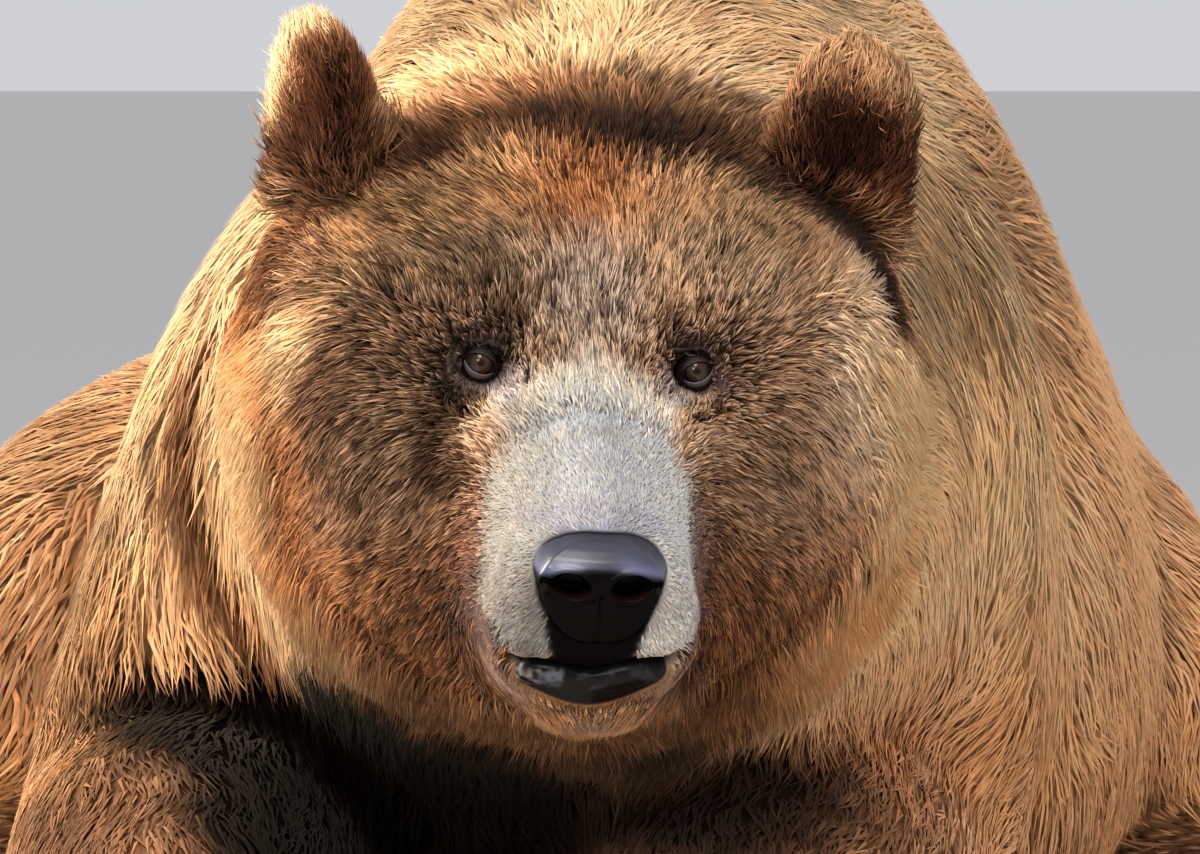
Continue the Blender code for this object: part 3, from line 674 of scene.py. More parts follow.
def painted(mesh, name, colours):
    """Stores one linear colour for each point of the mesh."""
    rgba = np.ones((len(colours), 4), np.float32)
    rgba[:, :3] = colours
    mesh.color_attributes.new(name, "FLOAT_COLOR", "POINT").data.foreach_set("color", rgba.ravel())


def stored(mesh, name, values):
    """Stores one number for each point of the mesh."""
    values = np.asarray(values, np.float32)
    mesh.attributes.new(name, "FLOAT", "POINT").data.foreach_set("value", values)


def settle(node, **values):
    """Sets a node's sockets by their names, with _ for a space, and its other settings by
    their own names. A pair of a node and its output is joined to the socket."""
    for name, value in values.items():
        socket = node.inputs.get(name.replace("_", " "))
        if socket is None:
            setattr(node, name, value)
        elif isinstance(value, tuple) and isinstance(value[0], bpy.types.Node):
            node.id_data.links.new(value[0].outputs[value[1]], socket)
        else:
            socket.default_value = value


def new_material(name, **values):
    """A material, its shader and its node tree, with the shader's plain values set."""
    material = bpy.data.materials.new(name)
    material.use_nodes = True
    shader = material.node_tree.nodes["Principled BSDF"]
    settle(shader, **values)
    return material, shader, material.node_tree


def added(tree, kind, **values):
    """A new shader node of a kind, settled."""
    node = tree.nodes.new("ShaderNode" + kind)
    settle(node, **values)
    return node


bare, shader, tree = new_material(
    "bare_hide", Roughness=0.55, Specular_IOR_Level=0.03, Coat_Roughness=0.25
)
tone = added(tree, "Attribute", attribute_name="coat")
wet = added(tree, "Attribute", attribute_name="wet")
dry = added(tree, "MapRange", Value=(wet, "Fac"), To_Min=0.85, To_Max=0.25)
where = added(tree, "TexCoord")
pores = added(tree, "TexVoronoi", Vector=(where, "Object"), Scale=620)
relief = added(tree, "Bump", Height=(pores, "Distance"), Strength=0.35, Distance=0.0008)
settle(shader, Base_Color=(tone, "Color"), Coat_Weight=(wet, "Fac"), Roughness=(dry, "Result"),
       Normal=(relief, "Normal"))

# Under short fur the hide takes the coat's colour almost in full; elsewhere it is painted
# darker as shade under the locks.
side, up = seen[:, 0], seen[:, 1]
calm = muzzle_pale(seen, place) + bridge_pale(seen, place)
calm = np.clip(calm + 0.8 * ramp(from_eye, 26, 17) * ramp(up, 4, -3), 0, 1) * on_head
mottle = ramp(drift(skin, 0.006, 9) + 0.6 * drift(skin, 0.0025, 8), -0.1, 0.8)
# black lips; the lower lip's blue grey near its top is partly mottling, partly painted highlight
lip_colour = tinted(
    (9, 6, 6),
    ((104, 108, 118), 0.8 * mottle * ramp(to_mouth, -0.016, -0.007)
     * ramp(to_mouth, -0.0015, -0.003) * (0.35 + 0.65 * ramp(side, 20, -20))),
    ((150, 132, 124), mottle * ramp(side, -27, -35) * ramp(to_mouth, -0.001, -0.003) * 0.8),
)
under = markings(skin, sharp_share) * (0.5 + 0.42 * (1 - on_head) + 0.45 * calm)[:, None]
under = tinted(
    under * (1 - lips[:, None]) + lip_colour * lips[:, None],
    # painted shade: the groove along the mouth's line darker
    ((6, 4, 4), mouth_cut),
    ((70, 56, 52), ramp(from_eye, 20, 14) * (on_head > 0.5)),
    ((136, 122, 128), ramp(from_eye, 24, 17) * ramp(up, 5, -3)
     * ramp(np.abs(side), 72, 62) * (on_head > 0.5)),
)
painted(form, "coat", linear(under))
stored(form, "wet", 0.22 * lips * ramp(to_mouth, 0.001, -0.003))
hide.data.materials.clear()
hide.data.materials.append(bare)
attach(hide, "root")
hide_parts(*FLESH)


# ---- the eyes
# Blown glass eyes, reverse painted: a dark pupil, a brown iris with fine threads, a dark
# ring round it and hardly any white. They are set behind the lids, looking straight out.

EYE_BALL = 11.4  # millimetres
EYE_BACK = 6.2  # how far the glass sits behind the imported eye's middle
EYE_ROWS, EYE_COLUMNS = 64, 96


def turned(name, points, columns, paint, colour, material):
    """An object from rows of points that each close on themselves, painted one colour for
    each point."""
    r, c = np.meshgrid(np.arange(len(points) // columns - 1), np.arange(columns), indexing="ij")
    n = (c + 1) % columns
    quads = [r * columns + n, (r + 1) * columns + n, (r + 1) * columns + c, r * columns + c]
    mesh = solid_mesh(name, points, np.stack(quads, -1).reshape(-1, 4))
    painted(mesh, paint, linear(colour))
    mesh.materials.append(material)
    return placed(name, mesh)


def round_turns(columns):
    """Equal angles round a full turn, as one row."""
    return np.linspace(0, 2 * math.pi, columns, endpoint=False)[None]


glass, shader, tree = new_material("eye_glass", Roughness=0.07, Specular_IOR_Level=0.26)
tone = added(tree, "Attribute", attribute_name="iris")
where = added(tree, "TexCoord")
threads = added(tree, "TexNoise", Vector=(where, "Object"), Scale=900)
mixed = added(tree, "Mix", data_type="RGBA", blend_type="MULTIPLY", Factor=0.35,
              A=(tone, "Color"), B=(threads, "Color"))
settle(shader, Base_Color=(mixed, "Result"))


def glass_eye(node):
    """A ball: rings of growing angle from the way it looks, with a cornea that stands 0.5 mm
    proud within 35 degrees of it. Gives back its centre on the face."""
    centre = face_on(middle(node)) - np.array([0, 0, EYE_BACK])
    off = np.linspace(0.5, 165, EYE_ROWS)[:, None] * math.pi / 180
    turn = round_turns(EYE_COLUMNS)
    size = EYE_BALL + 0.5 * ramp(off, 0.62, 0.1)
    out, off_line = size * np.cos(off), size * np.sin(off)
    ball = np.broadcast_arrays(off_line * np.cos(turn), off_line * np.sin(turn), out)
    ball = np.stack(ball, -1).reshape(-1, 3)
    degrees = np.degrees(off + 0 * turn).ravel()
    spokes = 0.22 * np.sin(turn * 41 + 3 * np.sin(turn * 7)) + 0 * off
    iris = tinted(
        (10, 7, 6),
        ((66, 43, 26), ramp(degrees, 6.0, 14.0)),
        ((50, 30, 20), ramp(degrees, 17, 28)),
        (SHADE, spokes.ravel() * ramp(degrees, 10, 14)),
        ((14, 8, 7), ramp(degrees, 28.5, 33.5)),
        ((38, 20, 18), 0.8 * ramp(degrees, 36, 50)),
    )
    piece = turned(node + "_glass", from_face(ball + centre), EYE_COLUMNS, "iris", iris, glass)
    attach(piece, "root")
    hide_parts(node)
    return centre


# ---- the eyelids
# Thin bare skin round each eye, folded back over the glass: a dark upper lid, partly its own
# colour and partly painted shade, a pale blue painted highlight along the wet edge of the
# lower one, and a blue grey corner towards the nose.

LID_HALF_WIDTH, LID_HALF_HEIGHT, LID_REACH = 9.8, 6.0, 21.0  # millimetres
LID_TILT = math.radians(21)
LID_COLUMNS = 120
lid_skin, shader, tree = new_material("eyelid_skin", Roughness=0.5)
tone = added(tree, "Attribute", attribute_name="lid")
wet = added(tree, "Attribute", attribute_name="wet")
dry = added(tree, "MapRange", Value=(wet, "Fac"), To_Min=0.6, To_Max=0.12)
where = added(tree, "TexCoord")
lines = added(tree, "TexNoise", Vector=(where, "Object"), Scale=700, Detail=4)
relief = added(tree, "Bump", Height=(lines, "Fac"), Strength=0.3, Distance=0.0006)
settle(shader, Base_Color=(tone, "Color"), Roughness=(dry, "Result"), Normal=(relief, "Normal"))


def hide_outward(flat_places, reach=2.2):
    """How far out the hide lies at each (side, up) place on the face: the mean of the hide's
    own points there, weighted by exp(-d^2 / 2 reach^2)."""
    near = (on_head > 0.5) & (seen[:, 2] > -60)
    mine = seen[near]
    gap = ((flat_places[:, None] - mine[None, :, :2]) ** 2).sum(2)
    weight = np.exp(-gap / (2 * reach * reach)) + 1e-12
    return (weight * mine[:, 2]).sum(1) / weight.sum(1)


def eyelids(node, sign, eye):
    """Rows from the lids' edge outwards. The edge is an ellipse with pointed ends, tilted so
    that the inner corner is lower; the skin follows the ball, then sinks to the hide."""
    s = np.concatenate([[-0.10, -0.05, 0.0, 0.02, 0.05], np.linspace(0.09, 1, 22)])[:, None]
    turn = round_turns(LID_COLUMNS)
    x, y = np.cos(turn), np.sin(turn)
    pointed = 1 - 0.30 * np.abs(x) ** 3
    flat_x, flat_y = LID_HALF_WIDTH * x, LID_HALF_HEIGHT * y * pointed * np.where(y > 0, 0.84, 1.0)
    cos, sin = math.cos(sign * LID_TILT), math.sin(sign * LID_TILT)
    edge_x, edge_y = flat_x * cos - flat_y * sin, flat_x * sin + flat_y * cos
    out = np.clip(s, 0, 1) ** 1.15
    px = edge_x + (LID_REACH * x - edge_x) * out
    py = edge_y + (LID_REACH * 0.92 * y - edge_y) * out
    tuck = np.clip(-s, 0, 1) * 10
    px, py = px * (1 - 0.05 * tuck), py * (1 - 0.05 * tuck)
    far = np.hypot(px, py)
    thick = 0.9 * ramp(s, -0.06, 0.02) + 0.5 * bell(s, 0.08, 0.05) * np.maximum(y, 0) - 0.35 * tuck
    fold = 0.5 * bell(s, 0.30, 0.05) + 0.35 * bell(s, 0.46, 0.05)
    cap = np.sqrt(np.maximum((EYE_BALL + thick) ** 2 - far**2, 4.0)) - fold
    flat_places = np.stack([px + eye[0], py + eye[1]], -1)
    ground = hide_outward(flat_places.reshape(-1, 2)).reshape(px.shape)
    ground = ground + 0.7 - 2.2 * ramp(s, 0.85, 1.0)
    hood = 2.2 * np.maximum(y, 0) * bell(s, 0.35, 0.22)
    leaves = ramp(far, 8.0, 14.5)
    level = (cap + eye[2]) * (1 - leaves) + (ground + hood) * leaves
    points = np.concatenate([flat_places, level[..., None]], -1).reshape(-1, 3)

    upper, inner, s = (np.broadcast_to(v, px.shape).ravel() for v in (y, -sign * x, s))
    colour = tinted(
        (84, 70, 70),
        # the upper lid: partly dark skin and lashes, partly painted shade under the brow
        ((22, 15, 13), ramp(upper, -0.15, 0.25)),
        ((92, 66, 54), ramp(inner, 0.1, -0.9) * ramp(s, 0.2, 0.5) * 0.8),
        ((128, 122, 134), ramp(inner, 0.1, 0.8) * ramp(upper, 0.5, -0.2) * ramp(s, 0.03, 0.3)),
        # painted highlight: the wet edge of the lower lid pale blue
        ((132, 134, 152), 0.8 * ramp(upper, 0.05, -0.3) * bell(s, 0.03, 0.022)),
        ((70, 58, 66), 0.6 * ramp(upper, 0.0, -0.4) * bell(s, 0.11, 0.035)),
        ((120, 74, 70), bell(inner, 1, 0.06) * ramp(s, 0.08, 0.0)),
        # partly dark lashes, partly painted shade along the upper lid's edge
        ((14, 9, 9), ramp(upper, -0.05, 0.2) * ramp(s, 0.26, 0.08)),
    )
    piece = turned(node + "_lids", from_face(points), LID_COLUMNS, "lid", colour, lid_skin)
    stored(piece.data, "wet", ramp(s, 0.10, 0.03) * (0.95 - 0.7 * ramp(upper, 0.0, 0.3)))
    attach(piece, "root")


for node, sign in (("eye_left", 1), ("eye_right", -1)):
    eyelids(node, sign, glass_eye(node))


# ---- the nose
# A bare leathery pad, cast and coloured: a sloping glossy shelf on top whose blue grey and
# glint are a painted reflection of the sky, a rounded edge, and a dark front with two comma
# nostrils, painted darker inside as shade, and a groove down the middle.

leather, shader, tree = new_material(
    "nose_leather", Roughness=0.5, Specular_IOR_Level=0.02, Coat_Roughness=0.28
)
gloss = added(tree, "Attribute", attribute_name="gloss")
tone = added(tree, "Attribute", attribute_name="pad")
where = added(tree, "TexCoord")
cells = added(tree, "TexVoronoi", feature="DISTANCE_TO_EDGE", Vector=(where, "Object"), Scale=640)
grain = added(tree, "TexNoise", Vector=(where, "Object"), Scale=260, Detail=5)
shine = added(tree, "MapRange", Value=(grain, "Fac"), From_Min=0.35, From_Max=0.65,
              To_Min=0.30, To_Max=0.50)
relief = added(tree, "Bump", Height=(cells, "Distance"), Strength=0.45, Distance=0.0005)
settle(shader, Base_Color=(tone, "Color"), Coat_Weight=(gloss, "Fac"),
       Roughness=(shine, "Result"), Normal=(relief, "Normal"))

PAD_ROWS, PAD_COLUMNS = 84, 192
PAD_PROFILE = (  # metres ahead of the eyes at each height over the nose's middle
    [-0.033, -0.022, -0.012, -0.003, 0.006, 0.012, 0.0165, 0.0205, 0.0245, 0.029, 0.036],
    [0.1880, 0.1925, 0.1960, 0.1985, 0.2005, 0.2008, 0.1995, 0.1960, 0.1905, 0.1830, 0.1700],
)
s = np.linspace(0.004, 1, PAD_ROWS)[:, None]
turn = round_turns(PAD_COLUMNS)
c, d = np.cos(turn), np.sin(turn)
outline = (np.abs(c) ** 3.0 + np.abs(d) ** 3.0) ** (-1 / 3.0)
spread = s**0.85
x = NOSE_WIDE * outline * c * spread
z = NOSE_HIGH * outline * d * spread
x = x * np.interp(z / NOSE_HIGH, *NOSE_TAPER)
z = z - 0.0030 * (x / NOSE_WIDE) ** 2 * ramp(z, 0, 0.02)
level = np.interp(z, *PAD_PROFILE)
level[2:-2] = (level[:-4] + level[1:-3] * 2 + level[2:-2] * 2 + level[3:-1] * 2 + level[4:]) / 8
level = level - 4.2 * x**2 - (0.020 - 0.016 * ramp(z, -0.012, -0.028)) * ramp(s, 0.86, 1.0) ** 1.5
side_x = np.abs(x)


def near_line(px, pz, ax, az, bx, bz):
    """Distance from each place to a straight line's stretch between two ends."""
    dx, dz = bx - ax, bz - az
    along = np.clip(((px - ax) * dx + (pz - az) * dz) / (dx**2 + dz**2), 0, 1)
    return np.hypot(px - ax - along * dx, pz - az - along * dz)


hole = np.hypot((side_x - 0.0165) / 0.0105, (z - 0.0065 - 0.10 * (side_x - 0.0165)) / 0.0072)
slit = np.minimum(
    near_line(side_x, z, 0.022, 0.0065, 0.0315, 0.0085),
    near_line(side_x, z, 0.0315, 0.0085, 0.0350, -0.0010),
)
level = level - 0.0125 * ramp(hole, 1.12, 0.55) + 0.0011 * bell(hole, 1.3, 0.22)
level = level - 0.0042 * bell(slit, 0, 0.0016) * ramp(hole, 0.6, 1.1)
level = level - 0.0013 * bell(x, 0, 0.0011) * ramp(z, 0.006, -0.002)
pad_points = np.stack([x, level, z + nose_mid[2]], -1).reshape(-1, 3)

up_here, out_here, hole, slit, rim = (
    np.broadcast_to(v, x.shape).ravel()
    for v in (z / NOSE_HIGH, side_x / NOSE_WIDE, hole, slit, ramp(s, 1.0, 0.88))
)
shelf = ramp(up_here + 0.20 * out_here**2, 0.44, 0.60)
painted_glint = bell(up_here + 0.24 * out_here**2, 0.60, 0.12) * ramp(out_here, 0.05, 0.45)
nostril = ramp(hole, 1.2, 1.0) * ramp(hole, 0.55, 0.95)
colour = tinted(
    (6, 3.5, 3.5),
    # painted reflection of the sky on the shelf, and a painted glint along it, brighter to the
    # sides
    ((50, 51, 68), shelf),
    ((96, 100, 130), shelf * painted_glint * 0.8),
    ((28, 27, 34), ramp(up_here, 0.80, 0.96) * 0.7),
    ((32, 12, 9), 0.8 * nostril * ramp(up_here, 0.2, 0.05)),
    # painted shade: the nostrils and their slits darker inside
    ((2, 1, 1), ramp(hole, 1.0, 0.7) + bell(slit, 0, 0.0013)),
)
pad_piece = turned("nose_pad", from_head(pad_points), PAD_COLUMNS, "pad", colour, leather)
stored(pad_piece.data, "gloss", 0.04 + 0.80 * shelf * ramp(up_here, 1.0, 0.86) * rim)
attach(pad_piece, "root")


# ---- how a coat is laid
# The fur is made as thin pointed locks, rooted under the skin, each a spindle of six faces
# that leans along the hide and is drawn with its neighbours into clumps at the tip.

sides = skin[corners[:, 1]] - skin[corners[:, 0]], skin[corners[:, 2]] - skin[corners[:, 0]]
area = np.linalg.norm(np.cross(*sides), axis=1) / 2
streak = bpy.data.node_groups.new("hair_streaks", "ShaderNodeTree")
streak.interface.new_socket("Colour", in_out="INPUT", socket_type="NodeSocketColor")
streak_depth = streak.interface.new_socket("Depth", in_out="INPUT", socket_type="NodeSocketFloat")
streak_depth.default_value = 0.4
streak.interface.new_socket("Colour", in_out="OUTPUT", socket_type="NodeSocketColor")
ends_in, ends_out = streak.nodes.new("NodeGroupInput"), streak.nodes.new("NodeGroupOutput")
across_lock = added(streak, "UVMap", uv_map="OFBake")
stretch = added(streak, "Mapping", Vector=(across_lock, "UV"), Scale=(1300, 200, 1))
hairs = added(streak, "TexNoise", Vector=(stretch, "Vector"), Scale=1.0, Detail=2)
evener = added(streak, "MapRange", Value=(hairs, "Fac"), From_Min=0.3, From_Max=0.7,
               To_Min=0.45, To_Max=1.45)
darker = added(streak, "Mix", data_type="RGBA", blend_type="MULTIPLY",
               Factor=(ends_in, "Depth"), A=(ends_in, "Colour"), B=(evener, "Result"))
settle(ends_out, Colour=(darker, "Result"))


def hair_material(name, depth, roughness, sheen, tint):
    """Hair: its colour from the coat's markings, split lengthwise into lighter and darker
    hairs, with a soft sheen at the edges."""
    material, shader, tree = new_material(
        name, Roughness=roughness, Specular_IOR_Level=0.0, Sheen_Weight=sheen,
        Sheen_Roughness=0.45, Sheen_Tint=(*tint, 1),
    )
    tone = added(tree, "Attribute", attribute_name="coat")
    hairs = added(tree, "Group", node_tree=streak, Colour=(tone, "Color"), Depth=depth)
    settle(shader, Base_Color=(hairs, "Colour"))
    return material


def clumps_of(points, cell, seed):
    """A number for each point's clump. Clumps are the cells of a cubic lattice bent by
    smooth noise."""
    bend = np.stack([drift(points, cell * 1.7, seed + k) for k in range(3)], 1)
    key = np.floor((points + cell * 0.7 * bend) / cell).astype(np.int64)
    key = (key[:, 0] * 1000003 + key[:, 1]) * 1000003 + key[:, 2]
    return np.unique(key, return_inverse=True)[1].ravel()


def mean_of(values, clump):
    """The mean of the values in each point's own clump."""
    total = np.stack([np.bincount(clump, column) for column in values.T], 1)
    return (total / np.bincount(clump)[:, None])[clump]


below_lip = ramp(to_mouth, -0.015, -0.021) * ramp(place[:, 1], 0.0, 0.04) * on_head
weathered = ramp(round_face, 0.85, 0.45) * ramp(seen[:, 1], -125, -60) * on_head
weathered = 0.16 + 0.39 * weathered  # how far the sun has bleached the tips
LOCK_FACES = np.array([[0, 1, 3], [0, 3, 2], [0, 2, 1], [4, 3, 1], [4, 2, 3], [4, 1, 2]])
LOCK_UNWRAP = 0.0015 * np.array([[0, -1], [-1, 0], [1, 0], [0, 0], [0, 1]])


def coat(name, where, count, length, width, seed, slot, material, cell=0.006, pull=0.5,
         lift=1.0, stand=0.1, steps=4, wave=0.0, turn=0.2, tone=(0.42, 0.95, 1.3), varied=0.15,
         clumped=0.1, pale=0.3, pale_by=1.25, plump=1.0, smooth=0.35, hang=0.0):
    """One piece of the coat, made of `count` locks. `where` says how densely it grows on each
    point of the hide. Length, width, lift, stand, plump, smooth and hang are single values or
    one for each point. Lift 1 brings the tips to the outside of the coat; stand is how much a
    lock keeps its first direction instead of following the hide; hang is how far its weight
    draws it straight down. Turn spreads the directions, wave bends a lock along its walk, and
    pull draws the tips into clumps of about `cell` metres. Tone is the darkness of root,
    middle and tip, varied and clumped how much single locks and clumps differ, pale the share
    of locks that are lighter by pale_by, plump how round a lock is, and smooth how far it
    takes the light as the hide under it does."""
    rng = np.random.default_rng(seed)
    total = np.cumsum(area * where[corners].mean(1))
    face = np.searchsorted(total, (np.arange(count) + rng.random(count)) / count * total[-1])
    face = np.minimum(face, len(corners) - 1)
    a, b = rng.random(count), rng.random(count)
    flip = a + b > 1
    a, b = np.where(flip, 1 - a, a), np.where(flip, 1 - b, b)
    weight = np.stack([1 - a - b, a, b], 1)
    tri = corners[face]

    def at_root(values):
        values = np.broadcast_to(values, len(skin)) if np.ndim(values) < 2 else values
        return (values[tri] * (weight if values.ndim == 1 else weight[..., None])).sum(1)

    root, normal, high = at_root(skin), unit(at_root(skin_normal)), at_root(depth)
    long = at_root(length) * rng.uniform(0.70, 1.25, count)
    wide = at_root(width) * rng.uniform(0.7, 1.35, count)
    up = at_root(lift) * rng.uniform(0.72, 1.08, count)
    own = at_root(stand)[:, None]
    here = tri[np.arange(count), weight.argmax(1)]
    lean = rng.normal(0, turn, count) + 0.4 * drift(root, 0.05, seed + 3)
    lean = lean + 0.3 * drift(root, 0.018, seed + 4)
    bend = wave * drift(root, 0.05, seed + 5)

    # the walk: a short step along the lie, then back onto the hide
    at, walk, out = root.copy(), [root], [normal]
    for step in range(steps):
        angle = lean + bend * math.sin(6.0 * (step + 0.5) / steps)
        heading = laid_flat(lie[here], skin_normal[here])
        cross = np.cross(skin_normal[here], heading)
        heading = heading * np.cos(angle)[:, None] + cross * np.sin(angle)[:, None]
        if step == 0:
            first = heading
        at = at + heading * (long / steps)[:, None]
        for _ in range(2):
            near = ring[here]
            here = near[np.arange(count), ((skin[near] - at[:, None]) ** 2).sum(2).argmin(1)]
        at = at - skin_normal[here] * ((at - skin[here]) * skin_normal[here]).sum(1, keepdims=True)
        walk.append(at)
        out.append(skin_normal[here])

    def point_at(step, share, rise):
        """Where the lock is at a step, between its walk and its own first direction."""
        over_hide = walk[step] * (1 - own) + (root + first * (long * share)[:, None]) * own
        outward = out[step] * (1 - own) + normal * own
        return over_hide + outward * (high * up * rise)[:, None]

    middle_step = max(1, round(steps * 0.45))
    middle_share, middle_normal = middle_step / steps, out[middle_step]
    ring_mid, tip = point_at(middle_step, middle_share, 0.72), point_at(-1, 1, 1)
    droop = at_root(hang) * long
    ring_mid[:, 2] -= droop * middle_share * 0.6
    tip[:, 2] -= droop
    start = root - normal * 0.0012
    small, big = clumps_of(root, cell, seed + 11), clumps_of(root, cell * 2.6, seed + 12)
    draw = np.clip(rng.normal(pull, 0.16, count), 0.0, 0.9)[:, None]
    tip = tip + (mean_of(tip, small) - tip) * draw + (mean_of(tip, big) - tip) * draw * 0.22
    ring_mid = ring_mid + (mean_of(ring_mid, small) - ring_mid) * draw * 0.35
    tip[:, 2] = np.maximum(tip[:, 2], 0.002)
    ring_mid[:, 2] = np.maximum(ring_mid[:, 2], 0.003)

    along = unit(tip - start)
    over = unit(np.cross(middle_normal, along))
    half = (wide / 2)[:, None]
    crest = np.cross(along, over) * half * at_root(plump)[:, None]
    points = [start, ring_mid - over * half - crest * 0.35, ring_mid + over * half - crest * 0.35,
              ring_mid + crest * 0.55, tip]
    faces = (LOCK_FACES[None] + (np.arange(count) * 5)[:, None, None]).reshape(-1, 3)
    mesh = solid_mesh(name, np.stack(points, 1).reshape(-1, 3), faces)
    hide_way = np.stack([normal, middle_normal, middle_normal, middle_normal, out[-1]], 1)
    even = np.repeat(at_root(smooth), 5)[:, None]
    lit_as = unit(arrays_of(mesh)[1] * (1 - even) + hide_way.reshape(-1, 3) * even)
    mesh.normals_split_custom_set_from_vertices(lit_as)

    of_clump = rng.normal(0, clumped, small.max() + 1)[small]
    of_clump = of_clump + rng.normal(0, clumped * 0.7, big.max() + 1)[big]
    light = 1 + rng.normal(0, varied, count) + of_clump + 0.10 * drift(root, 0.03, seed + 21)
    light = np.where(rng.random(count) < pale, light * pale_by, light)
    light = np.clip(light, 0.25, 2.2)[:, None]
    warm = rng.normal(0, 0.03, count) + 0.04 * drift(root, 0.06, seed + 23)
    quiet = at_root(calm * (1 - below_lip))[:, None]
    light = light + (1 - light) * 0.8 * quiet
    base = markings(root, at_root(sharp_share)) * light * (1 + warm[:, None] * np.array([1, 0, -1]))
    # dark roots, pale tips: partly the hairs' own banding, partly painted shade deep in the coat
    shade = [base * (t + (s - t) * quiet) for t, s in zip(tone, (0.94, 1.0, 1.03))]
    # the crest of each lock painted 4% lighter than its sides: a painted highlight
    tint = np.stack([shade[0], shade[1], shade[1], shade[1] * 1.04, shade[2]], 1).reshape(-1, 3)
    grey = tint @ np.array([0.3, 0.59, 0.11])
    by_point = np.tile([tone[0], tone[1], tone[1], tone[1], tone[2]], count)
    bleached = ramp(np.repeat(light[:, 0], 5) * by_point, 0.9, 1.7)
    bleached = bleached * np.repeat(at_root(weathered), 5)
    bleached = bleached * ramp(np.repeat(base.mean(1), 5), 45, 110)
    straw = grey[:, None] * np.array([1.08, 0.99, 0.86])
    tint = tint + (straw - tint) * bleached[:, None]
    tint = tint * (250 / np.maximum(tint.max(1), 250))[:, None]
    painted(mesh, "coat", linear(tint))

    # each lock is a small patch at its root's place on the hide's unwrap
    home = (unwrap[face] * weight[..., None]).sum(1)
    uv = (home[:, None] + LOCK_UNWRAP[None]).reshape(-1, 2)[faces.ravel()]
    mesh.uv_layers.new(name="OFBake").uv.foreach_set("vector", uv.astype(np.float32).ravel())
    mesh.materials.append(material)
    piece = placed(name, mesh)
    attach(piece, "root")
    return piece


face_hair = hair_material("face_hair", 0.25, 0.6, 0.04, (1.0, 0.85, 0.65))
long_hair = hair_material("long_hair", 0.4, 0.8, 0.1, (1.0, 0.85, 0.66))
muzzle_hair = hair_material("muzzle_hair", 0.1, 0.7, 0.15, (0.9, 0.92, 1.0))


# ---- the muzzle's fur
# Short plush, pale grey and cream, lying flat and back from the nose. It stops at the bare
# nose, lips and eyelids, and grows longer into a fringe under the chin.
below_eye = ramp(seen[:, 1], 1, -5)
toward_nose = ramp(np.abs(seen[:, 0]), 58, 52) * ramp(seen[:, 1], 4, -2)
fur_starts = 7.6 + 1.6 * below_eye * ramp(np.abs(seen[:, 0]), 74, 62) + 2.5 * toward_nose
open_face = on_head * ramp(from_eye - fur_starts, 0, 2.5) * (1 - lips)
open_face = open_face * ramp(mouth_cut, 0.5, 0.15)
chin = ramp(to_mouth, -0.018, -0.027) * ramp(place[:, 1], 0.0, 0.04) * on_head
plush = 0.0070 + 0.006 * ramp(place[:, 1], 0.10, 0.05) + 0.004 * (1 - calm) + 0.005 * chin
coat("coat_muzzle", open_face * snout * (1 + 0.8 * chin), 30000, plush, 0.0009 + 0.0001 * chin, 1,
     "muzzle_coat", muzzle_hair, cell=0.004, pull=0.3, varied=0.24, clumped=0.12, pale=0.22,
     pale_by=1.4, turn=0.25, tone=(0.26, 0.76, 1.36), lift=0.45 + 0.5 * (1 - calm) + 1.1 * chin,
     stand=0.1 + 0.35 * chin, plump=0.4 + 0.3 * chin, smooth=0.8 - 0.6 * chin, hang=0.35 * chin)

# ---- the face's fur
# Dense and short round the eyes, longer outwards, in small pointed clumps that fan away
# from the nose; dark at the root, partly as painted shade, and straw coloured at many tips.
front = ramp(place[:, 1], -0.10, -0.07)
face_length = 0.0050 + 0.0150 * ramp(from_eye, 11, 60) + 0.004 * ramp(round_face, 0.5, 0.9)
face_length = face_length * (1 - 0.5 * snout) + 0.012 * ruff + 0.014 * chin
face_width = 0.00115 - 0.0002 * ramp(from_eye, 40, 15)
crown = ramp(seen[:, 1], 85, 112) * on_head
face_where = open_face * front * (1 - snout) * (1 - 0.6 * ruff)
dense = dict(
    slot="face_coat", material=face_hair, cell=0.0054, pull=0.55, varied=0.36, clumped=0.15,
    pale=0.27, pale_by=1.6, turn=0.24, tone=(0.26, 0.76, 1.36),
    stand=0.1 + 0.15 * ruff + 0.35 * crown, lift=1 + 0.5 * crown,
)
top = ramp(place[:, 2], 0.018, 0.022)
coat("coat_brow", face_where * top, 28000, face_length, face_width, 2, **dense)
for name, edge, seed in (("coat_cheek_left", -0.002, 3), ("coat_cheek_right", 0.002, 4)):
    half_face = face_where * (1 - top) * ramp(place[:, 0], edge, -edge)
    coat(name, half_face, 26500, face_length, face_width, seed, **dense)

# ---- the ruff
# Long soft golden hair that hangs round the jaw and the sides of the face, where the winter
# coat is deepest, drawn into wide loose clumps.
coat("coat_ruff", ruff, 19000, 0.027, 0.0014, 13, "face_coat", face_hair, cell=0.009, pull=0.55,
     varied=0.14, clumped=0.12, pale=0.25, pale_by=1.3, turn=0.3, tone=(0.62, 1.04, 1.3),
     stand=0.3, lift=1.3, steps=5, smooth=0.2, hang=0.35 * ramp(seen[:, 1], -60, -130))

# ---- nape and ears
# The nape is longer and coarser than the face. The ears are round and furred on both sides,
# with fine loose hair that stands past their rims.
nape = on_head * (1 - front) * (1 - 0.5 * ruff)
coat("coat_nape", nape, 9000, 0.032, 0.0017, 5, "face_coat", face_hair, cell=0.011, varied=0.2,
     clumped=0.12, pale_by=1.35, tone=(0.4, 0.9, 1.25), stand=0.3 + 0.3 * crown,
     lift=1 + 0.4 * crown)
coat("coat_ears", on_ear, 13000, 0.021, 0.0011, 6, "face_coat", face_hair, cell=0.004, pull=0.3,
     varied=0.2, clumped=0.08, tone=(0.5, 0.9, 1.25), stand=0.75, lift=3.5, turn=0.5)

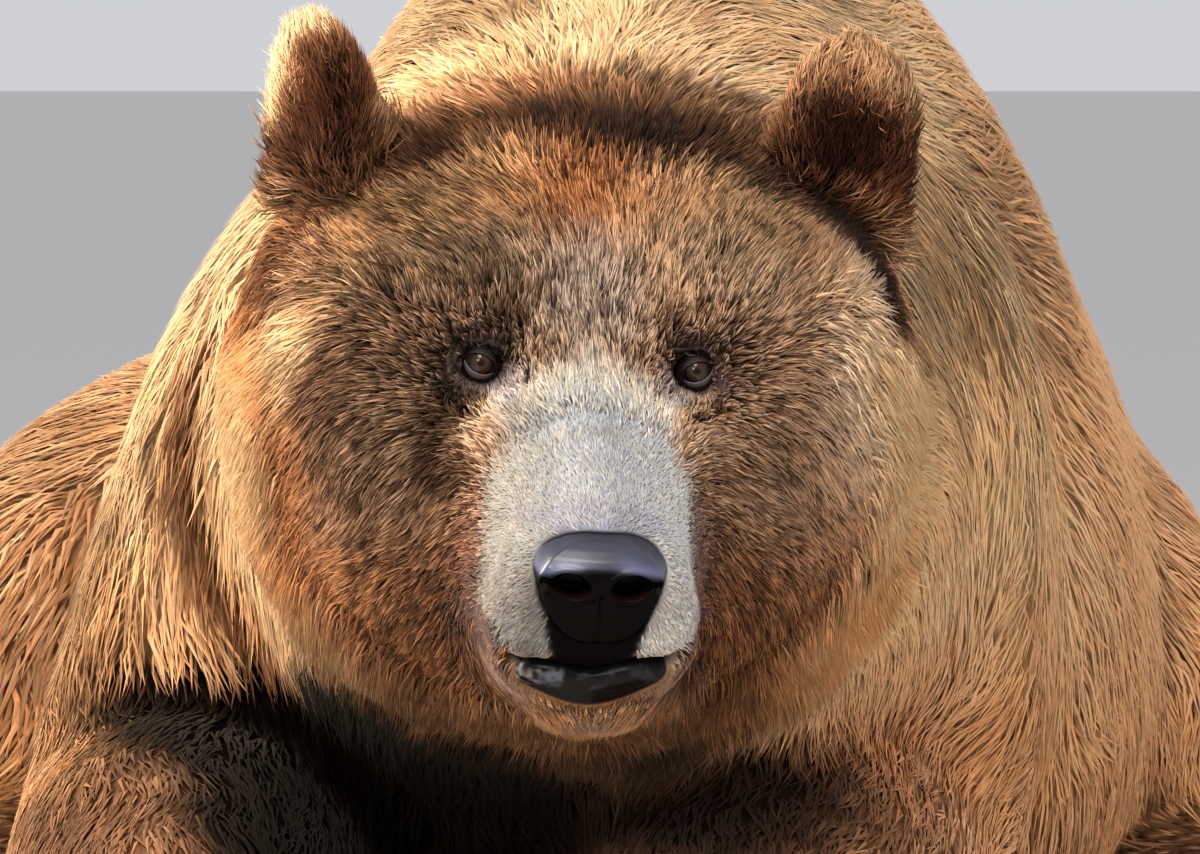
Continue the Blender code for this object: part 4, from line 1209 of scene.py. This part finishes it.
# ---- neck and forelegs
# Long guard hair over a pale undercoat, lying back and down; it shortens towards the wrist.
guard = dict(cell=0.016, pull=0.25, steps=7, plump=0.35, smooth=0.8, lift=1.3)
feet = share_of(sharp_share, *[n for n in FLESH if n.endswith(("paw", "foot"))])
coat("coat_neck", share_of(sharp_share, "neck"), 18000, 0.048, 0.0021, 7, "golden_coat", long_hair,
     wave=0.5, varied=0.08, clumped=0.05, tone=(0.9, 0.98, 1.06), **guard)
coat("coat_forelegs", share_of(sharp_share, "foreleg") * (1 - feet), 28000, 0.044, 0.0021, 8,
     "brown_coat", long_hair, wave=0.6, varied=0.09, clumped=0.06, tone=(0.88, 0.97, 1.06), **guard)

# ---- back, flanks and haunches
# The longest hair of all, laid in overlapping falls from the spine down to the belly.
trunk = share_of(sharp_share, "trunk")
rear = ramp(skin[:, 1], -0.10, 0.50)
falls = dict(
    slot="brown_coat", material=long_hair, cell=0.026, pull=0.3, steps=9, wave=0.5, varied=0.07,
    clumped=0.05, tone=(0.92, 0.98, 1.05), plump=0.3, smooth=0.8, lift=1.3,
)
flank = trunk * (1 - 0.5 * rear)
for name, start, end, seed in (
    ("coat_flank_left", 0.046, 0.05, 9),
    ("coat_flank_right", 0.05, 0.046, 10),
):
    half_body = flank * ramp(skin[:, 0], start, end)
    coat(name, half_body, 15500, 0.074, 0.0026 + 0.0008 * rear, seed, **falls)
hind = share_of(sharp_share, "hindleg", "tail") * (1 - feet)
coat("coat_haunches", hind, 13000, 0.062, 0.0032, 11, **falls)

# ---- paws and claws
# Short stiff brown fur down to the toes, and five curved claws of dark horn on each foot,
# streaked lengthwise with paler horn.
coat("coat_paws", feet, 7500, 0.018, 0.0026, 12, "brown_coat", face_hair, cell=0.010)

horn, shader, tree = new_material("claw_horn", Roughness=0.32)
where = added(tree, "TexCoord")
stretch = added(tree, "Mapping", Vector=(where, "Object"), Scale=(420, 40, 420))
bands = added(tree, "TexNoise", Vector=(stretch, "Vector"), Scale=1.0, Detail=4)
shades = added(tree, "ValToRGB", Fac=(bands, "Fac"))
dark_end, worn_end = shades.color_ramp.elements
dark_end.position, dark_end.color = 0.35, (0.010, 0.007, 0.005, 1)
worn_end.position, worn_end.color = 0.72, (0.075, 0.052, 0.036, 1)
relief = added(tree, "Bump", Height=(bands, "Fac"), Strength=0.3, Distance=0.0006)
settle(shader, Base_Color=(shades, "Color"), Normal=(relief, "Normal"))
for node in [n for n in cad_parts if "claw" in n]:
    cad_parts[node].data.materials.clear()
    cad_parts[node].data.materials.append(horn)

# ---- floor, light, camera
# The model stands on a plain pale studio floor in a softly lit room. A large soft box above
# and in front is the key, a small one puts the point of light in the eyes, and a warm one
# from the animal's right and behind lights the edge of its coat.
FLOOR_REACH = 60  # metres
floor_points = FLOOR_REACH * np.array([[-1, -1, 0], [1, -1, 0], [1, 1, 0], [-1, 1, 0]], float)
floor = placed("floor", solid_mesh("floor", floor_points, np.array([[0, 1, 2, 3]])))
pale, shader, tree = new_material("pale_floor", Roughness=0.9, Base_Color=(0.66, 0.655, 0.64, 1))
floor.data.materials.append(pale)

world = bpy.data.worlds.new("soft_room")
bpy.context.scene.world = world
world.use_nodes = True
settle(world.node_tree.nodes["Background"], Color=(0.95, 0.96, 1.0, 1), Strength=0.66)


def lamp(name, place, aim, size, power, colour, cone=180):
    """A soft box at a place, turned to shine at a point."""
    light = bpy.data.lights.new(name, "AREA")
    light.shape, light.size, light.energy, light.color = "DISK", size, power, colour
    box = bpy.data.objects.new(name, light)
    bpy.context.scene.collection.objects.link(box)
    box.location = place
    box.visible_camera = False
    light.spread = math.radians(cone)
    box.rotation_euler = (Vector(aim) - Vector(place)).to_track_quat("-Z", "Y").to_euler()


lamp("key", (-0.2, -2.9, 3.8), (0, -0.6, 0.4), 1.6, 88, (1.0, 0.94, 0.86))
lamp("catch", (-0.42, -2.1, 1.15), (0, -0.8, 0.45), 0.5, 8, (1.0, 0.97, 0.93))
lamp("rim", (-3.4, 0.45, 2.5), (0, -0.5, 0.5), 2.6, 78, (1.0, 0.89, 0.74), 80)

LENS, SENSOR = 237.7, 36  # millimetres
CAMERA_AWAY = 4.5  # metres from the eyes, which it shows right of and above its middle
camera_data = bpy.data.cameras.new("camera")
camera_data.sensor_width, camera_data.lens, camera_data.clip_end = SENSOR, LENS, 200
camera = bpy.data.objects.new("camera", camera_data)
bpy.context.scene.collection.objects.link(camera)
back = Vector((0, -math.cos(ONLOOKER_ABOVE), math.sin(ONLOOKER_ABOVE)))
up = Vector((0, math.sin(ONLOOKER_ABOVE), math.cos(ONLOOKER_ABOVE)))
aimed = Vector(between_eyes) + Vector((0.0065, 0, 0)) - up * 0.0338
camera.location = aimed + back * CAMERA_AWAY
camera.rotation_euler = (math.radians(90) - ONLOOKER_ABOVE, 0, 0)
bpy.context.scene.camera = camera
bpy.context.scene.view_settings.view_transform = "Standard"
